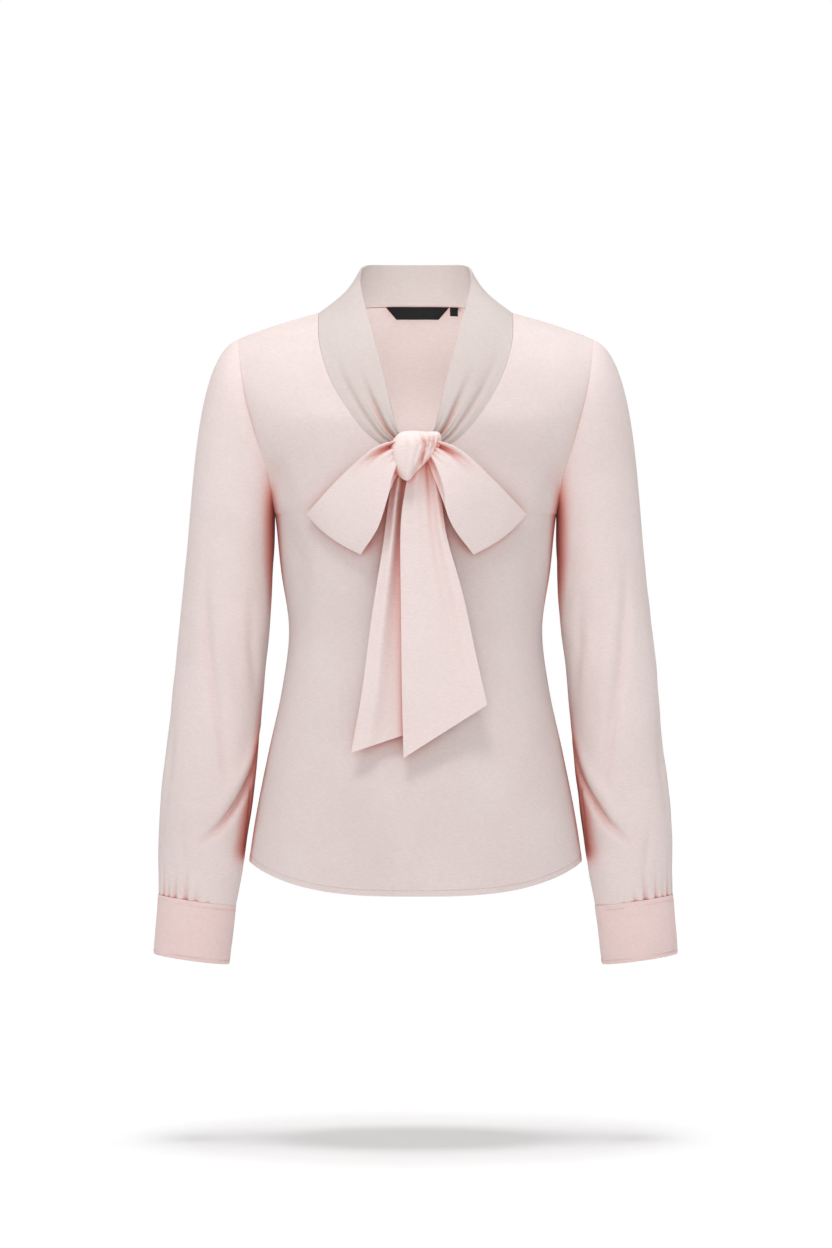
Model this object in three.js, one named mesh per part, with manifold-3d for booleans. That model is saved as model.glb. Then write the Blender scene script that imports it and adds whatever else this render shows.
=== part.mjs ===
// A tie-neck blouse in light crepe, filled out as worn, with no wearer inside.
// Millimetres, +Z up, the front faces -Y. The origin is midway between the two neck points of the shoulders.
import * as THREE from 'three';
import Module from 'manifold-3d';

// Cloth
const WALL = 1.6;
const CUFF_WALL = 2.4;
const COLLAR_WALL = 2;
const TIE_WALL = 1.6;
const LABEL_WALL = 0.8;
const SEAM_GAP = 0.3;

// Shoulder line, from the neck point out to the sleeve seam
const NECK_HALF_WIDTH = 100;
const SHOULDER_HALF_WIDTH = 182;
const SHOULDER_DROP = 27;
const BACK_NECK_RISE = 10.5;

// Armhole, seen from the side it is an oval
const ARMHOLE_TOP = -SHOULDER_DROP;
const ARMHOLE_BOTTOM = -208;
const ARMHOLE_HALF_DEPTH = 58;
const ARMHOLE_MIDDLE = (ARMHOLE_TOP + ARMHOLE_BOTTOM) / 2;
const ARMHOLE_HALF_HEIGHT = (ARMHOLE_TOP - ARMHOLE_BOTTOM) / 2;
const FRONT_UNDERARM_DROP = 6;
const BACK_UNDERARM_RISE = 4;

// Hem, lowest at the centre and curved up at the side seams
const HEM_CENTRE = -593;
const HEM_SIDE = -563;
const HEM_CURVE = 2.7;

// How the body rounds over to the shoulder line: reach downwards and roundness
const FRONT_ROUNDING = { reach: 220, power: 1.8 };
const BACK_ROUNDING = { reach: 130, power: 2 };
const NECK_ROUNDNESS = 30;
const SECTION_SQUARENESS = 0.88;
const ARMHOLE_TURN = { degrees: 35, height: 100 };
const ARMHOLE_BLEND = { power: 3, height: 70 };
const LEAST_ROUNDING = 0.02;
const CREASE_FREE_DEPTH = 30;

// Body sections from the hem to the chest
const BODY_SECTIONS = [
  { z: -610, half: 177, front: 118, back: 112 },
  { z: -558, half: 170.5, front: 116, back: 110 },
  { z: -512, half: 163.3, front: 113, back: 107 },
  { z: -450, half: 150.9, front: 108, back: 101 },
  { z: -388, half: 137.5, front: 103, back: 93 },
  { z: -326, half: 130.3, front: 101, back: 88 },
  { z: -265, half: 138.5, front: 109, back: 95 },
  { z: -208, half: 144.8, front: 116, back: 103 },
  { z: -150, half: 156, front: 119, back: 107 },
  { z: -88, half: 173.7, front: 119, back: 109 },
  { z: -27, half: 182, front: 119, back: 109 },
  { z: 40, half: 182, front: 119, back: 109 },
];

// Armhole seam seen from the front
const ARMHOLE_LINE = [
  { z: -208, x: 144.8 },
  { z: -172, x: 149.5 },
  { z: -130, x: 162 },
  { z: -88, x: 173 },
  { z: -57, x: 178.5 },
  { z: -27, x: 182 },
];

// Front neckline seam from the bottom of the V up to the neck point
const FRONT_NECKLINE = [
  { x: 0, z: -151 },
  { x: 34, z: -141 },
  { x: 50, z: -128 },
  { x: 70, z: -102 },
  { x: 87, z: -71 },
  { x: 98, z: -34 },
  { x: 100, z: 0 },
];

// Sleeve sections from the underarm to the cuff seam
const SLEEVE_SECTIONS = [
  { z: -254, centre: 190.6, half: 44.8, depth: 46, tilt: 1 },
  { z: -311, centre: 195.3, half: 46.4, depth: 44, tilt: 3 },
  { z: -373, centre: 201.5, half: 46.4, depth: 42, tilt: 5 },
  { z: -435, centre: 207.7, half: 46.4, depth: 41, tilt: 6 },
  { z: -496, centre: 214.3, half: 46.9, depth: 40, tilt: 6.5 },
  { z: -543, centre: 219, half: 45.3, depth: 38, tilt: 7 },
  { z: -574, centre: 222, half: 43.3, depth: 34, tilt: 7.5 },
  { z: -603.6, centre: 224.8, half: 40.2, depth: 29, tilt: 8 },
];
const SLEEVE_HEAD = { out: 130, down: 40, underarm: 46, end: 0.1 };
const SLEEVE_SEAM_STEP = 0.45;
const SLEEVE_MM_PER_DEGREE = 0.78;
const CUFF_SECTIONS = [
  { z: -604, centre: 224.9, half: 40.8, depth: 29.6, tilt: 8 },
  { z: -634, centre: 227.9, half: 40.2, depth: 29, tilt: 8 },
  { z: -665, centre: 230.9, half: 39.6, depth: 28.2, tilt: 8 },
];

// Creases pressed into the cloth: a path, how deep and how wide; a negative depth stands out. Sleeve paths
// run in degrees round the sleeve, from the outside over the front, and height; body paths in x and height.
const CREASE_END_SHARE = 0.25;
const SLEEVE_CREASES = [
  { depth: 3.5, width: 9, path: [[60, -262], [64, -300], [76, -356], [93, -409], [123, -490]] },
  { depth: 6.5, width: 8, path: [[180, -430], [165, -463], [139, -496], [119, -520], [92, -543]] },
  { depth: -2.2, width: 9, path: [[168, -420], [148, -455], [124, -488], [104, -512]] },
  { depth: 2.4, width: 8, path: [[158, -468], [164, -510], [178, -590]] },
  { depth: 2, width: 8, path: [[24, -420], [30, -480], [24, -540]] },
  { depth: 3.5, width: 10, path: [[250, -300], [262, -400], [240, -470]] },
  { depth: 4.5, width: 9, path: [[205, -455], [232, -500], [262, -530]] },
  { depth: 2.4, width: 9, path: [[300, -330], [288, -420]] },
];
const CUFF_GATHERS = [
  { angle: -101.25, length: 26, depth: 1.7 },
  { angle: -78.75, length: 38, depth: 2.2 },
  { angle: -56.25, length: 28, depth: 1.8 },
  { angle: -33.75, length: 34, depth: 2.1 },
  { angle: -11.25, length: 30, depth: 2 },
  { angle: 11.25, length: 32, depth: 2.2 },
  { angle: 33.75, length: 44, depth: 2.6 },
  { angle: 56.25, length: 36, depth: 2.4 },
  { angle: 78.75, length: 48, depth: 2.8 },
];
const GATHER_WIDTH = 5;
const FRONT_CREASES = [
  { depth: 4, width: 11, path: [[-136, -212], [-116, -258], [-119, -322]] },
  { depth: 4, width: 11, path: [[137, -214], [119, -255], [124, -316]] },
  { depth: 2.5, width: 11, path: [[-150, -150], [-121, -205]] },
  { depth: 2.5, width: 11, path: [[149, -156], [123, -212]] },
];
const BACK_CREASES = [
  { depth: 4.5, width: 13, path: [[-66, -235], [-58, -330], [-70, -420]] },
  { depth: 4, width: 13, path: [[60, -225], [66, -318], [58, -408]] },
  { depth: 3, width: 11, path: [[-138, -205], [-106, -262]] },
  { depth: 3, width: 11, path: [[136, -202], [110, -268]] },
];

// Tie collar: the fold edge from the centre back to the knot, beside the neckline seam
const COLLAR_FOLD = [
  { share: 0, x: 0, y: 46, z: 53.5 },
  { share: 0.16, x: 30, y: 41, z: 53 },
  { share: 0.32, x: 53, y: 22, z: 50.5 },
  { share: 0.44, x: 58, y: -4, z: 39 },
  { share: 0.56, x: 52, y: -38, z: 6 },
  { share: 0.68, x: 41, y: -70, z: -36 },
  { share: 0.82, x: 29, y: -99, z: -84 },
  { share: 0.93, x: 20, y: -121, z: -121 },
  { share: 1, x: 11, y: -133, z: -141 },
];
const COLLAR_END = 0.93;
const COLLAR_END_LIFT = 14;
const COLLAR_LIFT_START = 0.84;
const COLLAR_ROLL = 4;
const COLLAR_HOLLOW = 5;
const COLLAR_HOLLOW_REACH = 0.3;
const COLLAR_TURN = { start: 0.4, length: 0.3 };
const COLLAR_FADE = { start: 0.8, length: 0.2 };
const COLLAR_OUTWARD = { x: 0.8, yFront: -0.7, zBack: 0.1, zFront: 0.5 };
const COLLAR_FOLDS = [
  { share: 0.24, depth: 3.4, start: 0.56 },
  { share: 0.56, depth: 4, start: 0.66 },
];
const COLLAR_FOLD_WIDTH = 0.09;
const COLLAR_FOLD_LENGTH = 0.2;

// Knot of the bow: outline seen from the front, about its centre
const KNOT_CENTRE = { x: -1.5, y: -139, z: -147 };
const KNOT_OUTLINE = [
  { x: -23.5, z: 4 },
  { x: -14.5, z: 16.5 },
  { x: -1.5, z: 18.8 },
  { x: 12, z: 18 },
  { x: 25, z: 17 },
  { x: 27.5, z: 8 },
  { x: 22, z: -4 },
  { x: 12, z: -13 },
  { x: 3, z: -22 },
  { x: -6.5, z: -31 },
  { x: -18, z: -23.5 },
  { x: -24, z: -10 },
];
const KNOT_FRONT = 15;
const KNOT_BACK = 13;
const KNOT_FULLNESS = 0.8;
const KNOT_CREASES = [
  { depth: 5, width: 3.2, path: [[6, 19], [11, 2], [6, -14], [-2, -26]] },
  { depth: 2.6, width: 3, path: [[20, 17], [19, 5], [14, -8]] },
];

// Loops of the bow: upper and lower edge seen from the front, from the knot out to the fold, and the
// valleys that run out of the knot, by their place across from the lower to the upper edge
const LEFT_LOOP = {
  upper: [{ x: -14, z: -137 }, { x: -39, z: -145 }, { x: -71.5, z: -170.5 }, { x: -110.5, z: -210.5 }],
  lower: [{ x: -12, z: -160 }, { x: -24, z: -184 }, { x: -38, z: -225 }, { x: -55, z: -251 }],
  slip: -3,
  valleys: [
    { across: 0.85, depth: 5.5, reach: 0.8 },
    { across: 0.5, depth: 2, reach: 0.5 },
    { across: 0, depth: 3.5, reach: 0.45 },
  ],
};
const RIGHT_LOOP = {
  upper: [{ x: 14, z: -136 }, { x: 42, z: -146 }, { x: 75, z: -174 }, { x: 112, z: -210.5 }],
  lower: [{ x: 12, z: -158 }, { x: 25, z: -192 }, { x: 37, z: -223 }, { x: 58, z: -251 }],
  slip: 6,
  valleys: [
    { across: 0.85, depth: 5.5, reach: 0.75 },
    { across: 0.58, depth: 2, reach: 0.45 },
    { across: 0, depth: 3.5, reach: 0.6 },
  ],
};
const LOOP_START_ANGLE = 0.34;
const LOOP_VALLEY_WIDTH = 0.1;
const LOOP_VALLEY_SPREAD = 1.5;
const LOOP_END_BOW = 4;
const LOOP_FRONT_PUFF = 12;
const LOOP_BACK_PUFF = 4;
const LOOP_BEHIND = { start: 0.45, length: 0.35 };
const LOOP_DEPTH = -142;
const LOOP_REST = 8;
const LOOP_REST_POWER = 1.5;

// Tails of the bow: left and right edge seen from the front, from the knot down, and the soft folds that
// run down them, by their place across; a negative depth stands out
const LEFT_TAIL = {
  left: [
    { x: -16.5, z: -155 }, { x: -24.5, z: -184 }, { x: -32.5, z: -241 },
    { x: -43.5, z: -311 }, { x: -54, z: -391 }, { x: -64.5, z: -449 },
  ],
  right: [
    { x: 2, z: -155 }, { x: 6, z: -184 }, { x: 9, z: -241 },
    { x: 12.5, z: -311 }, { x: 14.5, z: -380 }, { x: 16.5, z: -422 },
  ],
  clear: 4,
  folds: [
    { across: 0.2, depth: -4, width: 0.12 },
    { across: 0.45, depth: 3.2, width: 0.14 },
  ],
};
const RIGHT_TAIL = {
  left: [
    { x: -3.5, z: -150 }, { x: -10, z: -184 }, { x: -14.5, z: -216 },
    { x: -14.5, z: -311 }, { x: -13.5, z: -396 }, { x: -12, z: -454 },
  ],
  right: [
    { x: 16, z: -150 }, { x: 24, z: -184 }, { x: 31, z: -232 },
    { x: 47, z: -290 }, { x: 60, z: -350 }, { x: 71.5, z: -401 },
  ],
  clear: 10,
  folds: [
    { across: 0.3, depth: -2, width: 0.16 },
    { across: 0.7, depth: 2.4, width: 0.12 },
  ],
};
const TAIL_PLUMB = 119;
const TAIL_TOP_LIFT = 6;
const TAIL_LIFT_LENGTH = 45;
const TAIL_END_LIFT = { height: 5, start: 0.5 };
const TAIL_FOLD_SHARE = { top: 1.1, bottom: 0.5 };

// Woven labels at the centre back neck
const LABEL_TAB = { centre: 2, top: 33, bottom: 22, height: 13 };
const SIZE_TAB = { centre: 40, top: 4, bottom: 4, height: 9 };
const LABEL_DROP = 1;
const LABEL_COLUMNS = 6;

// Grid counts
const PANEL_COLUMNS = 12;
const PANEL_LOWER_ROWS = 9;
const PANEL_CHEST_ROWS = 2;
const PANEL_NECK_ROWS = 6;
const BACK_UPPER_ROWS = 8;
const BACK_NECK_COLUMNS = 5;
const BACK_ROW_SPREAD = 0.85;
const SLEEVE_COLUMNS = 32;
const SLEEVE_HEAD_ROWS = 6;
const SLEEVE_ROWS = 17;
const CUFF_COLUMNS = 28;
const COLLAR_BACK_COLUMNS = 10;
const COLLAR_FRONT_COLUMNS = 12;
const COLLAR_ROWS = 8;
const KNOT_AROUND = 26;
const KNOT_LAYERS = 11;
const LOOP_LENGTHS = 20;
const LOOP_WIDTHS = 12;
const TAIL_LENGTHS = 12;
const TAIL_WIDTHS = 10;

const CREPE_BODY = 0xdfd2cd;
const CREPE_SLEEVE = 0xe1d4d0;
const CREPE_CUFF = 0xe1ccc8;
const CREPE_COLLAR = 0xe4d6d2;
const CREPE_TIE = 0xead8d4;
const LABEL_BLACK = 0x20201f;

const vector = (x, y, z) => new THREE.Vector3(x, y, z);
const mix = (a, b, t) => a + (b - a) * t;
const limit = (value) => Math.min(1, Math.max(0, value));
const radians = (degrees) => degrees * Math.PI / 180;

function ease(value) {
  const t = limit(value);
  return t * t * (3 - 2 * t);
}

// Smooth value of one column of a table, looked up by another column
function lookUp(table, key, value, column) {
  const rows = table[0][key] < table[table.length - 1][key] ? table : [...table].reverse();
  let i = 0;
  while (i < rows.length - 2 && value > rows[i + 1][key]) i += 1;
  const span = rows[i + 1][key] - rows[i][key];
  const slope = (k) => {
    const low = Math.max(0, k - 1);
    const high = Math.min(rows.length - 1, k + 1);
    return (rows[high][column] - rows[low][column]) / (rows[high][key] - rows[low][key]);
  };
  return hermite(rows[i][column], rows[i + 1][column], slope(i) * span, slope(i + 1) * span,
    limit((value - rows[i][key]) / span));
}

function hermite(from, to, fromSlope, toSlope, t) {
  const t2 = t * t;
  const t3 = t2 * t;
  return from * (2 * t3 - 3 * t2 + 1) + fromSlope * (t3 - 2 * t2 + t)
    + to * (3 * t2 - 2 * t3) + toSlope * (t3 - t2);
}

// Smooth curve through a few named points, t from 0 to 1
function along(points, t) {
  const curve = new THREE.CatmullRomCurve3(points.map((p) => vector(p.x, p.y ?? 0, p.z)), false, 'centripetal');
  return curve.getPoint(limit(t));
}

// Depth pressed in at a place by a list of creases; each fades out towards its ends
function pressed(creases, u, v) {
  let sum = 0;
  for (const crease of creases) {
    sum += crease.depth * nearCrease(crease, u, v);
  }
  return sum;
}

function nearCrease(crease, u, v) {
  let best = 0;
  const count = crease.path.length - 1;
  for (let i = 0; i < count; i += 1) {
    const [u0, v0] = crease.path[i];
    const [u1, v1] = crease.path[i + 1];
    const length2 = (u1 - u0) ** 2 + (v1 - v0) ** 2;
    const t = limit(((u - u0) * (u1 - u0) + (v - v0) * (v1 - v0)) / length2);
    const gap = Math.hypot(u - mix(u0, u1, t), v - mix(v0, v1, t));
    const place = (i + t) / count;
    const fade = mix(CREASE_END_SHARE, 1, Math.sin(Math.PI * place));
    best = Math.max(best, fade * Math.exp(-((gap / crease.width) ** 2)));
  }
  return best;
}

// A sheet is a list of points and triangles; points that fall together are one point
function newSheet() {
  return { points: [], faces: [], seen: new Map() };
}

function addPoint(sheet, point) {
  const key = [point.x, point.y, point.z].map((c) => Math.round(c * 1000)).join(' ');
  if (!sheet.seen.has(key)) {
    sheet.seen.set(key, sheet.points.length);
    sheet.points.push(point);
  }
  return sheet.seen.get(key);
}

// Adds a grid; with turned set its outside is the other side
function addGrid(sheet, columns, rows, pointAt, { closed = false, turned = false } = {}) {
  const count = closed ? columns : columns + 1;
  const ids = [];
  for (let j = 0; j <= rows; j += 1) {
    ids.push([]);
    for (let i = 0; i < count; i += 1) ids[j].push(addPoint(sheet, pointAt(i, j)));
  }
  for (let j = 0; j < rows; j += 1) {
    for (let i = 0; i < columns; i += 1) {
      const next = (i + 1) % count;
      const [a, b, c, d] = [ids[j][i], ids[j][next], ids[j + 1][next], ids[j + 1][i]];
      addFace(sheet, turned ? [a, c, b] : [a, b, c]);
      addFace(sheet, turned ? [a, d, c] : [a, c, d]);
    }
  }
}

function addFace(sheet, [a, b, c]) {
  if (a !== b && b !== c && c !== a) sheet.faces.push([a, b, c]);
}

function sheetNormals(sheet) {
  const normals = sheet.points.map(() => vector(0, 0, 0));
  for (const [a, b, c] of sheet.faces) {
    const ab = sheet.points[b].clone().sub(sheet.points[a]);
    const ac = sheet.points[c].clone().sub(sheet.points[a]);
    const normal = ab.cross(ac);
    for (const k of [a, b, c]) normals[k].add(normal);
  }
  return normals.map((n) => n.normalize());
}

// Gives a sheet its thickness inwards and closes it round every free edge
function wallOf(sheet, thickness, settle = (point) => point) {
  const normals = sheetNormals(sheet);
  const count = sheet.points.length;
  const outer = sheet.points.map((p) => settle(p.clone()));
  const inner = sheet.points.map((p, k) => settle(p.clone().addScaledVector(normals[k], -thickness)));
  const faces = [];
  const edges = new Set();
  for (const [a, b, c] of sheet.faces) {
    faces.push([a, b, c], [c + count, b + count, a + count]);
    for (const [p, q] of [[a, b], [b, c], [c, a]]) edges.add(`${p} ${q}`);
  }
  for (const edge of edges) {
    const [p, q] = edge.split(' ').map(Number);
    if (!edges.has(`${q} ${p}`)) faces.push([q, p, p + count], [q, p + count, q + count]);
  }
  return geometryOf([...outer, ...inner], faces);
}

function geometryOf(points, faces) {
  const geometry = new THREE.BufferGeometry();
  const places = new Float32Array(points.flatMap((p) => [p.x, p.y, p.z]));
  geometry.setAttribute('position', new THREE.BufferAttribute(places, 3));
  geometry.setIndex(faces.flat());
  geometry.computeVertexNormals();
  return geometry;
}

// Height down the armhole seam, by angle from the shoulder point
function armholeHeight(angle) {
  return ARMHOLE_MIDDLE + ARMHOLE_HALF_HEIGHT * Math.cos(angle);
}

// Half depth of the armhole at a height
function armholeDepth(z) {
  const share = limit(Math.abs(z - ARMHOLE_MIDDLE) / ARMHOLE_HALF_HEIGHT);
  return ARMHOLE_HALF_DEPTH * Math.sqrt(1 - share * share);
}

// Shoulder line, carried on over the neck and rounded there
function shoulderHeight(x) {
  const neck = Math.hypot(NECK_HALF_WIDTH, NECK_ROUNDNESS);
  const whole = Math.hypot(SHOULDER_HALF_WIDTH, NECK_ROUNDNESS) - neck;
  return -SHOULDER_DROP * (Math.hypot(x, NECK_ROUNDNESS) - neck) / whole;
}

// How much of the full depth the body has at a distance below the shoulder line
function rounding(shape, below) {
  return (1 - (1 - limit(below / shape.reach)) ** shape.power) ** (1 / shape.power);
}

function halfWidth(z) {
  return z < ARMHOLE_BOTTOM ? lookUp(BODY_SECTIONS, 'z', z, 'half') : lookUp(ARMHOLE_LINE, 'z', z, 'x');
}

function turnAt(z) {
  return radians(90 - ARMHOLE_TURN.degrees * ease((z - ARMHOLE_BOTTOM) / ARMHOLE_TURN.height));
}

// Point of the body surface at an angle round a section: 0 at the centre, the full turn at the outer edge
function bodyPoint(panel, angle, z) {
  const turn = turnAt(z);
  const x = halfWidth(z) * (Math.sin(angle) / Math.sin(turn)) ** SECTION_SQUARENESS;
  const bulge = limit((Math.cos(angle) - Math.cos(turn)) / (1 - Math.cos(turn))) ** SECTION_SQUARENESS;
  const edgeBelow = shoulderHeight(halfWidth(z)) - z;
  const edgeRounding = Math.max(LEAST_ROUNDING, rounding(panel.rounding, edgeBelow));
  const edge = z <= ARMHOLE_BOTTOM ? 0 : armholeDepth(z) / edgeRounding;
  const full = lookUp(BODY_SECTIONS, 'z', z, panel.depth);
  const blend = mix(ARMHOLE_BLEND.power, 1, ease((z - ARMHOLE_BOTTOM) / ARMHOLE_BLEND.height));
  const y = rounding(panel.rounding, shoulderHeight(x) - z) * (full * bulge + edge * (1 - bulge) ** blend);
  return vector(x, panel.face * y, z);
}

function angleAt(x, z) {
  const share = limit(x / halfWidth(z)) ** (1 / SECTION_SQUARENESS);
  return Math.asin(limit(share * Math.sin(turnAt(z))));
}

// Depth of the body surface at a place seen from the front or back
function bodyDepth(panel, x, z) {
  return bodyPoint(panel, angleAt(Math.abs(x), z), z).y;
}

const FRONT = { depth: 'front', face: -1, rounding: FRONT_ROUNDING, creases: FRONT_CREASES };
const BACK = { depth: 'back', face: 1, rounding: BACK_ROUNDING, creases: BACK_CREASES };

// One point of a panel on a row that runs from its inner end to its outer end
function rowPoint(panel, side, row, share) {
  const innerAngle = angleAt(row.innerX, row.innerZ);
  const z = mix(row.innerZ, row.outerZ, row.sweep(share));
  const angle = mix(innerAngle, turnAt(z), share);
  const point = bodyPoint(panel, angle, z);
  point.x *= side;
  const free = ease(Math.abs(point.y) / CREASE_FREE_DEPTH);
  point.y -= panel.face * free * pressed(panel.creases, point.x, point.z);
  if (Math.abs(point.y) < SEAM_GAP / 2) point.y = panel.face * SEAM_GAP / 2;
  return point;
}

function lowerRow(share, top) {
  return {
    innerX: 0,
    innerZ: mix(HEM_CENTRE, top, share),
    outerZ: mix(HEM_SIDE, ARMHOLE_BOTTOM, share),
    sweep: (s) => Math.sin(s * Math.PI / 2) ** mix(HEM_CURVE, 2, share),
  };
}

// Rows of the front: hem to underarm, underarm to the bottom of the V, then along the neckline
function frontRows() {
  const rows = [];
  const underarm = ARMHOLE_BOTTOM - FRONT_UNDERARM_DROP;
  for (let j = 0; j <= PANEL_LOWER_ROWS; j += 1) rows.push(lowerRow(j / PANEL_LOWER_ROWS, underarm));
  const upper = PANEL_CHEST_ROWS + PANEL_NECK_ROWS;
  for (let j = 1; j <= upper; j += 1) {
    const onNeck = (j - PANEL_CHEST_ROWS) / PANEL_NECK_ROWS;
    const inner = onNeck <= 0
      ? vector(0, 0, mix(underarm, FRONT_NECKLINE[0].z, j / PANEL_CHEST_ROWS))
      : along(FRONT_NECKLINE, onNeck);
    rows.push({
      innerX: inner.x,
      innerZ: inner.z,
      outerZ: armholeHeight(Math.PI * (1 - j / upper)),
      sweep: (s) => s,
    });
  }
  return rows;
}

// Place along the straight pieces of an edge, t from 0 to 1
function onEdge(points, t) {
  const place = limit(t) * (points.length - 1);
  const k = Math.min(points.length - 2, Math.floor(place));
  return points[k].clone().lerp(points[k + 1], place - k);
}

// Armhole edges of the two panels, from the underarm up to the shoulder
function armholeEdges() {
  const edge = (panel, rows) => rows.slice(PANEL_LOWER_ROWS).map((row) => rowPoint(panel, 1, row, 1));
  return { front: edge(FRONT, frontRows()), back: edge(BACK, backRows()) };
}

// A point of a panel's edge, moved on past it by the gap; the second point lies inside the panel
function pastEdge(edge, inside) {
  const away = edge.clone().sub(inside).normalize();
  return edge.addScaledVector(away, SEAM_GAP);
}

// Lines a gap past the neckline edges: centre back to the neck point, then on to the bottom of the V
function necklineEdges() {
  const [below, top] = backRows().slice(-2);
  const back = [];
  for (let i = 0; i <= BACK_NECK_COLUMNS; i += 1) {
    back.push(pastEdge(rowPoint(BACK, 1, top, backShare(i)), rowPoint(BACK, 1, below, backShare(i))));
  }
  const rows = frontRows().slice(PANEL_LOWER_ROWS + PANEL_CHEST_ROWS).reverse();
  const inner = (row, share) => rowPoint(FRONT, 1, row, share);
  const front = rows.map((row) => pastEdge(inner(row, 0), inner(row, 1 / PANEL_COLUMNS)));
  front[0].add(vector(-SEAM_GAP, -SEAM_GAP, SEAM_GAP));
  back[BACK_NECK_COLUMNS] = front[0];
  return { back, front };
}

function buildFront() {
  const sheet = newSheet();
  const rows = frontRows();
  for (const side of [-1, 1]) {
    const at = (i, j) => rowPoint(FRONT, side, rows[j], i / PANEL_COLUMNS);
    addGrid(sheet, PANEL_COLUMNS, rows.length - 1, at, { turned: side < 0 });
  }
  return wallOf(sheet, WALL, (p) => p.setY(Math.min(p.y, -SEAM_GAP / 2)));
}

// Share of the columns at which the back meets the neck point
function neckShare() {
  return angleAt(NECK_HALF_WIDTH, ARMHOLE_TOP) / turnAt(ARMHOLE_TOP);
}

// Share of the width at a column of the back; one column runs up to the neck point
function backShare(column) {
  const neck = neckShare();
  if (column <= BACK_NECK_COLUMNS) return neck * column / BACK_NECK_COLUMNS;
  return mix(neck, 1, (column - BACK_NECK_COLUMNS) / (PANEL_COLUMNS - BACK_NECK_COLUMNS));
}

// Height of the back's top edge by share of the columns: neckline, then shoulder
function backTop(share) {
  const neck = neckShare();
  if (share <= neck) return BACK_NECK_RISE * (1 - (share / neck) ** 2);
  return -SHOULDER_DROP * (share - neck) / (1 - neck);
}

function backRows() {
  const rows = [];
  const underarm = ARMHOLE_BOTTOM + BACK_UNDERARM_RISE;
  for (let j = 0; j <= PANEL_LOWER_ROWS; j += 1) rows.push(lowerRow(j / PANEL_LOWER_ROWS, underarm));
  for (let j = 1; j <= BACK_UPPER_ROWS; j += 1) {
    const share = j / BACK_UPPER_ROWS;
    rows.push({
      innerX: 0,
      innerZ: mix(underarm, BACK_NECK_RISE, share ** BACK_ROW_SPREAD),
      outerZ: armholeHeight(Math.PI * (1 - share)),
      sweep: (s) => mix(s * s, (BACK_NECK_RISE - backTop(s)) / (BACK_NECK_RISE + SHOULDER_DROP), share),
    });
  }
  return rows;
}

function buildBack() {
  const sheet = newSheet();
  const rows = backRows();
  for (const side of [-1, 1]) {
    const at = (i, j) => rowPoint(BACK, side, rows[j], backShare(i));
    addGrid(sheet, PANEL_COLUMNS, rows.length - 1, at, { turned: side > 0 });
  }
  return wallOf(sheet, WALL, (p) => p.setY(Math.max(p.y, SEAM_GAP / 2)));
}

// Point of a sleeve or cuff section; the angle runs from the outside over the front
function sectionPoint(sections, side, angle, z, pressedIn = 0) {
  const at = (column) => lookUp(sections, 'z', z, column);
  const out = (at('half') - pressedIn) * Math.cos(angle);
  const tilt = radians(at('tilt'));
  const x = at('centre') + out * Math.cos(tilt);
  const y = -(at('depth') - pressedIn) * Math.sin(angle);
  return vector(side * x, y, z + out * Math.sin(tilt));
}

// Depth pressed into the sleeve by its creases and by the gathers above the cuff seam
function sleevePressed(angle, z) {
  const turn = (angle * 180 / Math.PI + 360) % 360;
  const round = (degrees) => degrees * SLEEVE_MM_PER_DEGREE;
  const creases = SLEEVE_CREASES.map((c) => ({ ...c, path: c.path.map(([u, v]) => [round(u), v]) }));
  let sum = pressed(creases, round(turn), z);
  const seam = SLEEVE_SECTIONS[SLEEVE_SECTIONS.length - 1].z;
  for (const gather of CUFF_GATHERS) {
    const apart = round(Math.abs((turn - gather.angle + 540) % 360 - 180));
    sum += gather.depth * Math.exp(-((apart / GATHER_WIDTH) ** 2)) * ease(1 - (z - seam) / gather.length);
  }
  return sum;
}

// Head of the sleeve: from the armhole seam, over and down to the first full section
function sleeveHeadPoint(edges, side, angle, share) {
  const first = SLEEVE_SECTIONS[0];
  const from = angle <= Math.PI
    ? onEdge(edges.front, 1 - angle / Math.PI)
    : onEdge(edges.back, angle / Math.PI - 1);
  const to = sectionPoint(SLEEVE_SECTIONS, 1, angle, first.z, sleevePressed(angle, first.z));
  const upper = (1 + Math.cos(angle)) / 2;
  const leave = vector(SLEEVE_HEAD.out * upper, 0, -mix(SLEEVE_HEAD.underarm, SLEEVE_HEAD.down, upper));
  from.addScaledVector(leave.clone().normalize(), SEAM_GAP).add(vector(SLEEVE_SEAM_STEP, 0, 0));
  const reach = from.distanceTo(to);
  const arrive = vector(SLEEVE_HEAD.end * reach, 0, -reach);
  return vector(
    side * hermite(from.x, to.x, leave.x, arrive.x, share),
    hermite(from.y, to.y, leave.y, arrive.y, share),
    hermite(from.z, to.z, leave.z, arrive.z, share),
  );
}

function buildSleeve(side) {
  const sheet = newSheet();
  const edges = armholeEdges();
  const first = SLEEVE_SECTIONS[0].z;
  const last = SLEEVE_SECTIONS[SLEEVE_SECTIONS.length - 1].z;
  const at = (i, j) => {
    const angle = 2 * Math.PI * i / SLEEVE_COLUMNS;
    if (j < SLEEVE_HEAD_ROWS) return sleeveHeadPoint(edges, side, angle, j / SLEEVE_HEAD_ROWS);
    const z = mix(first, last, (j - SLEEVE_HEAD_ROWS) / SLEEVE_ROWS);
    return sectionPoint(SLEEVE_SECTIONS, side, angle, z, sleevePressed(angle, z));
  };
  addGrid(sheet, SLEEVE_COLUMNS, SLEEVE_HEAD_ROWS + SLEEVE_ROWS, at, { closed: true, turned: side < 0 });
  return wallOf(sheet, WALL);
}

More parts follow.
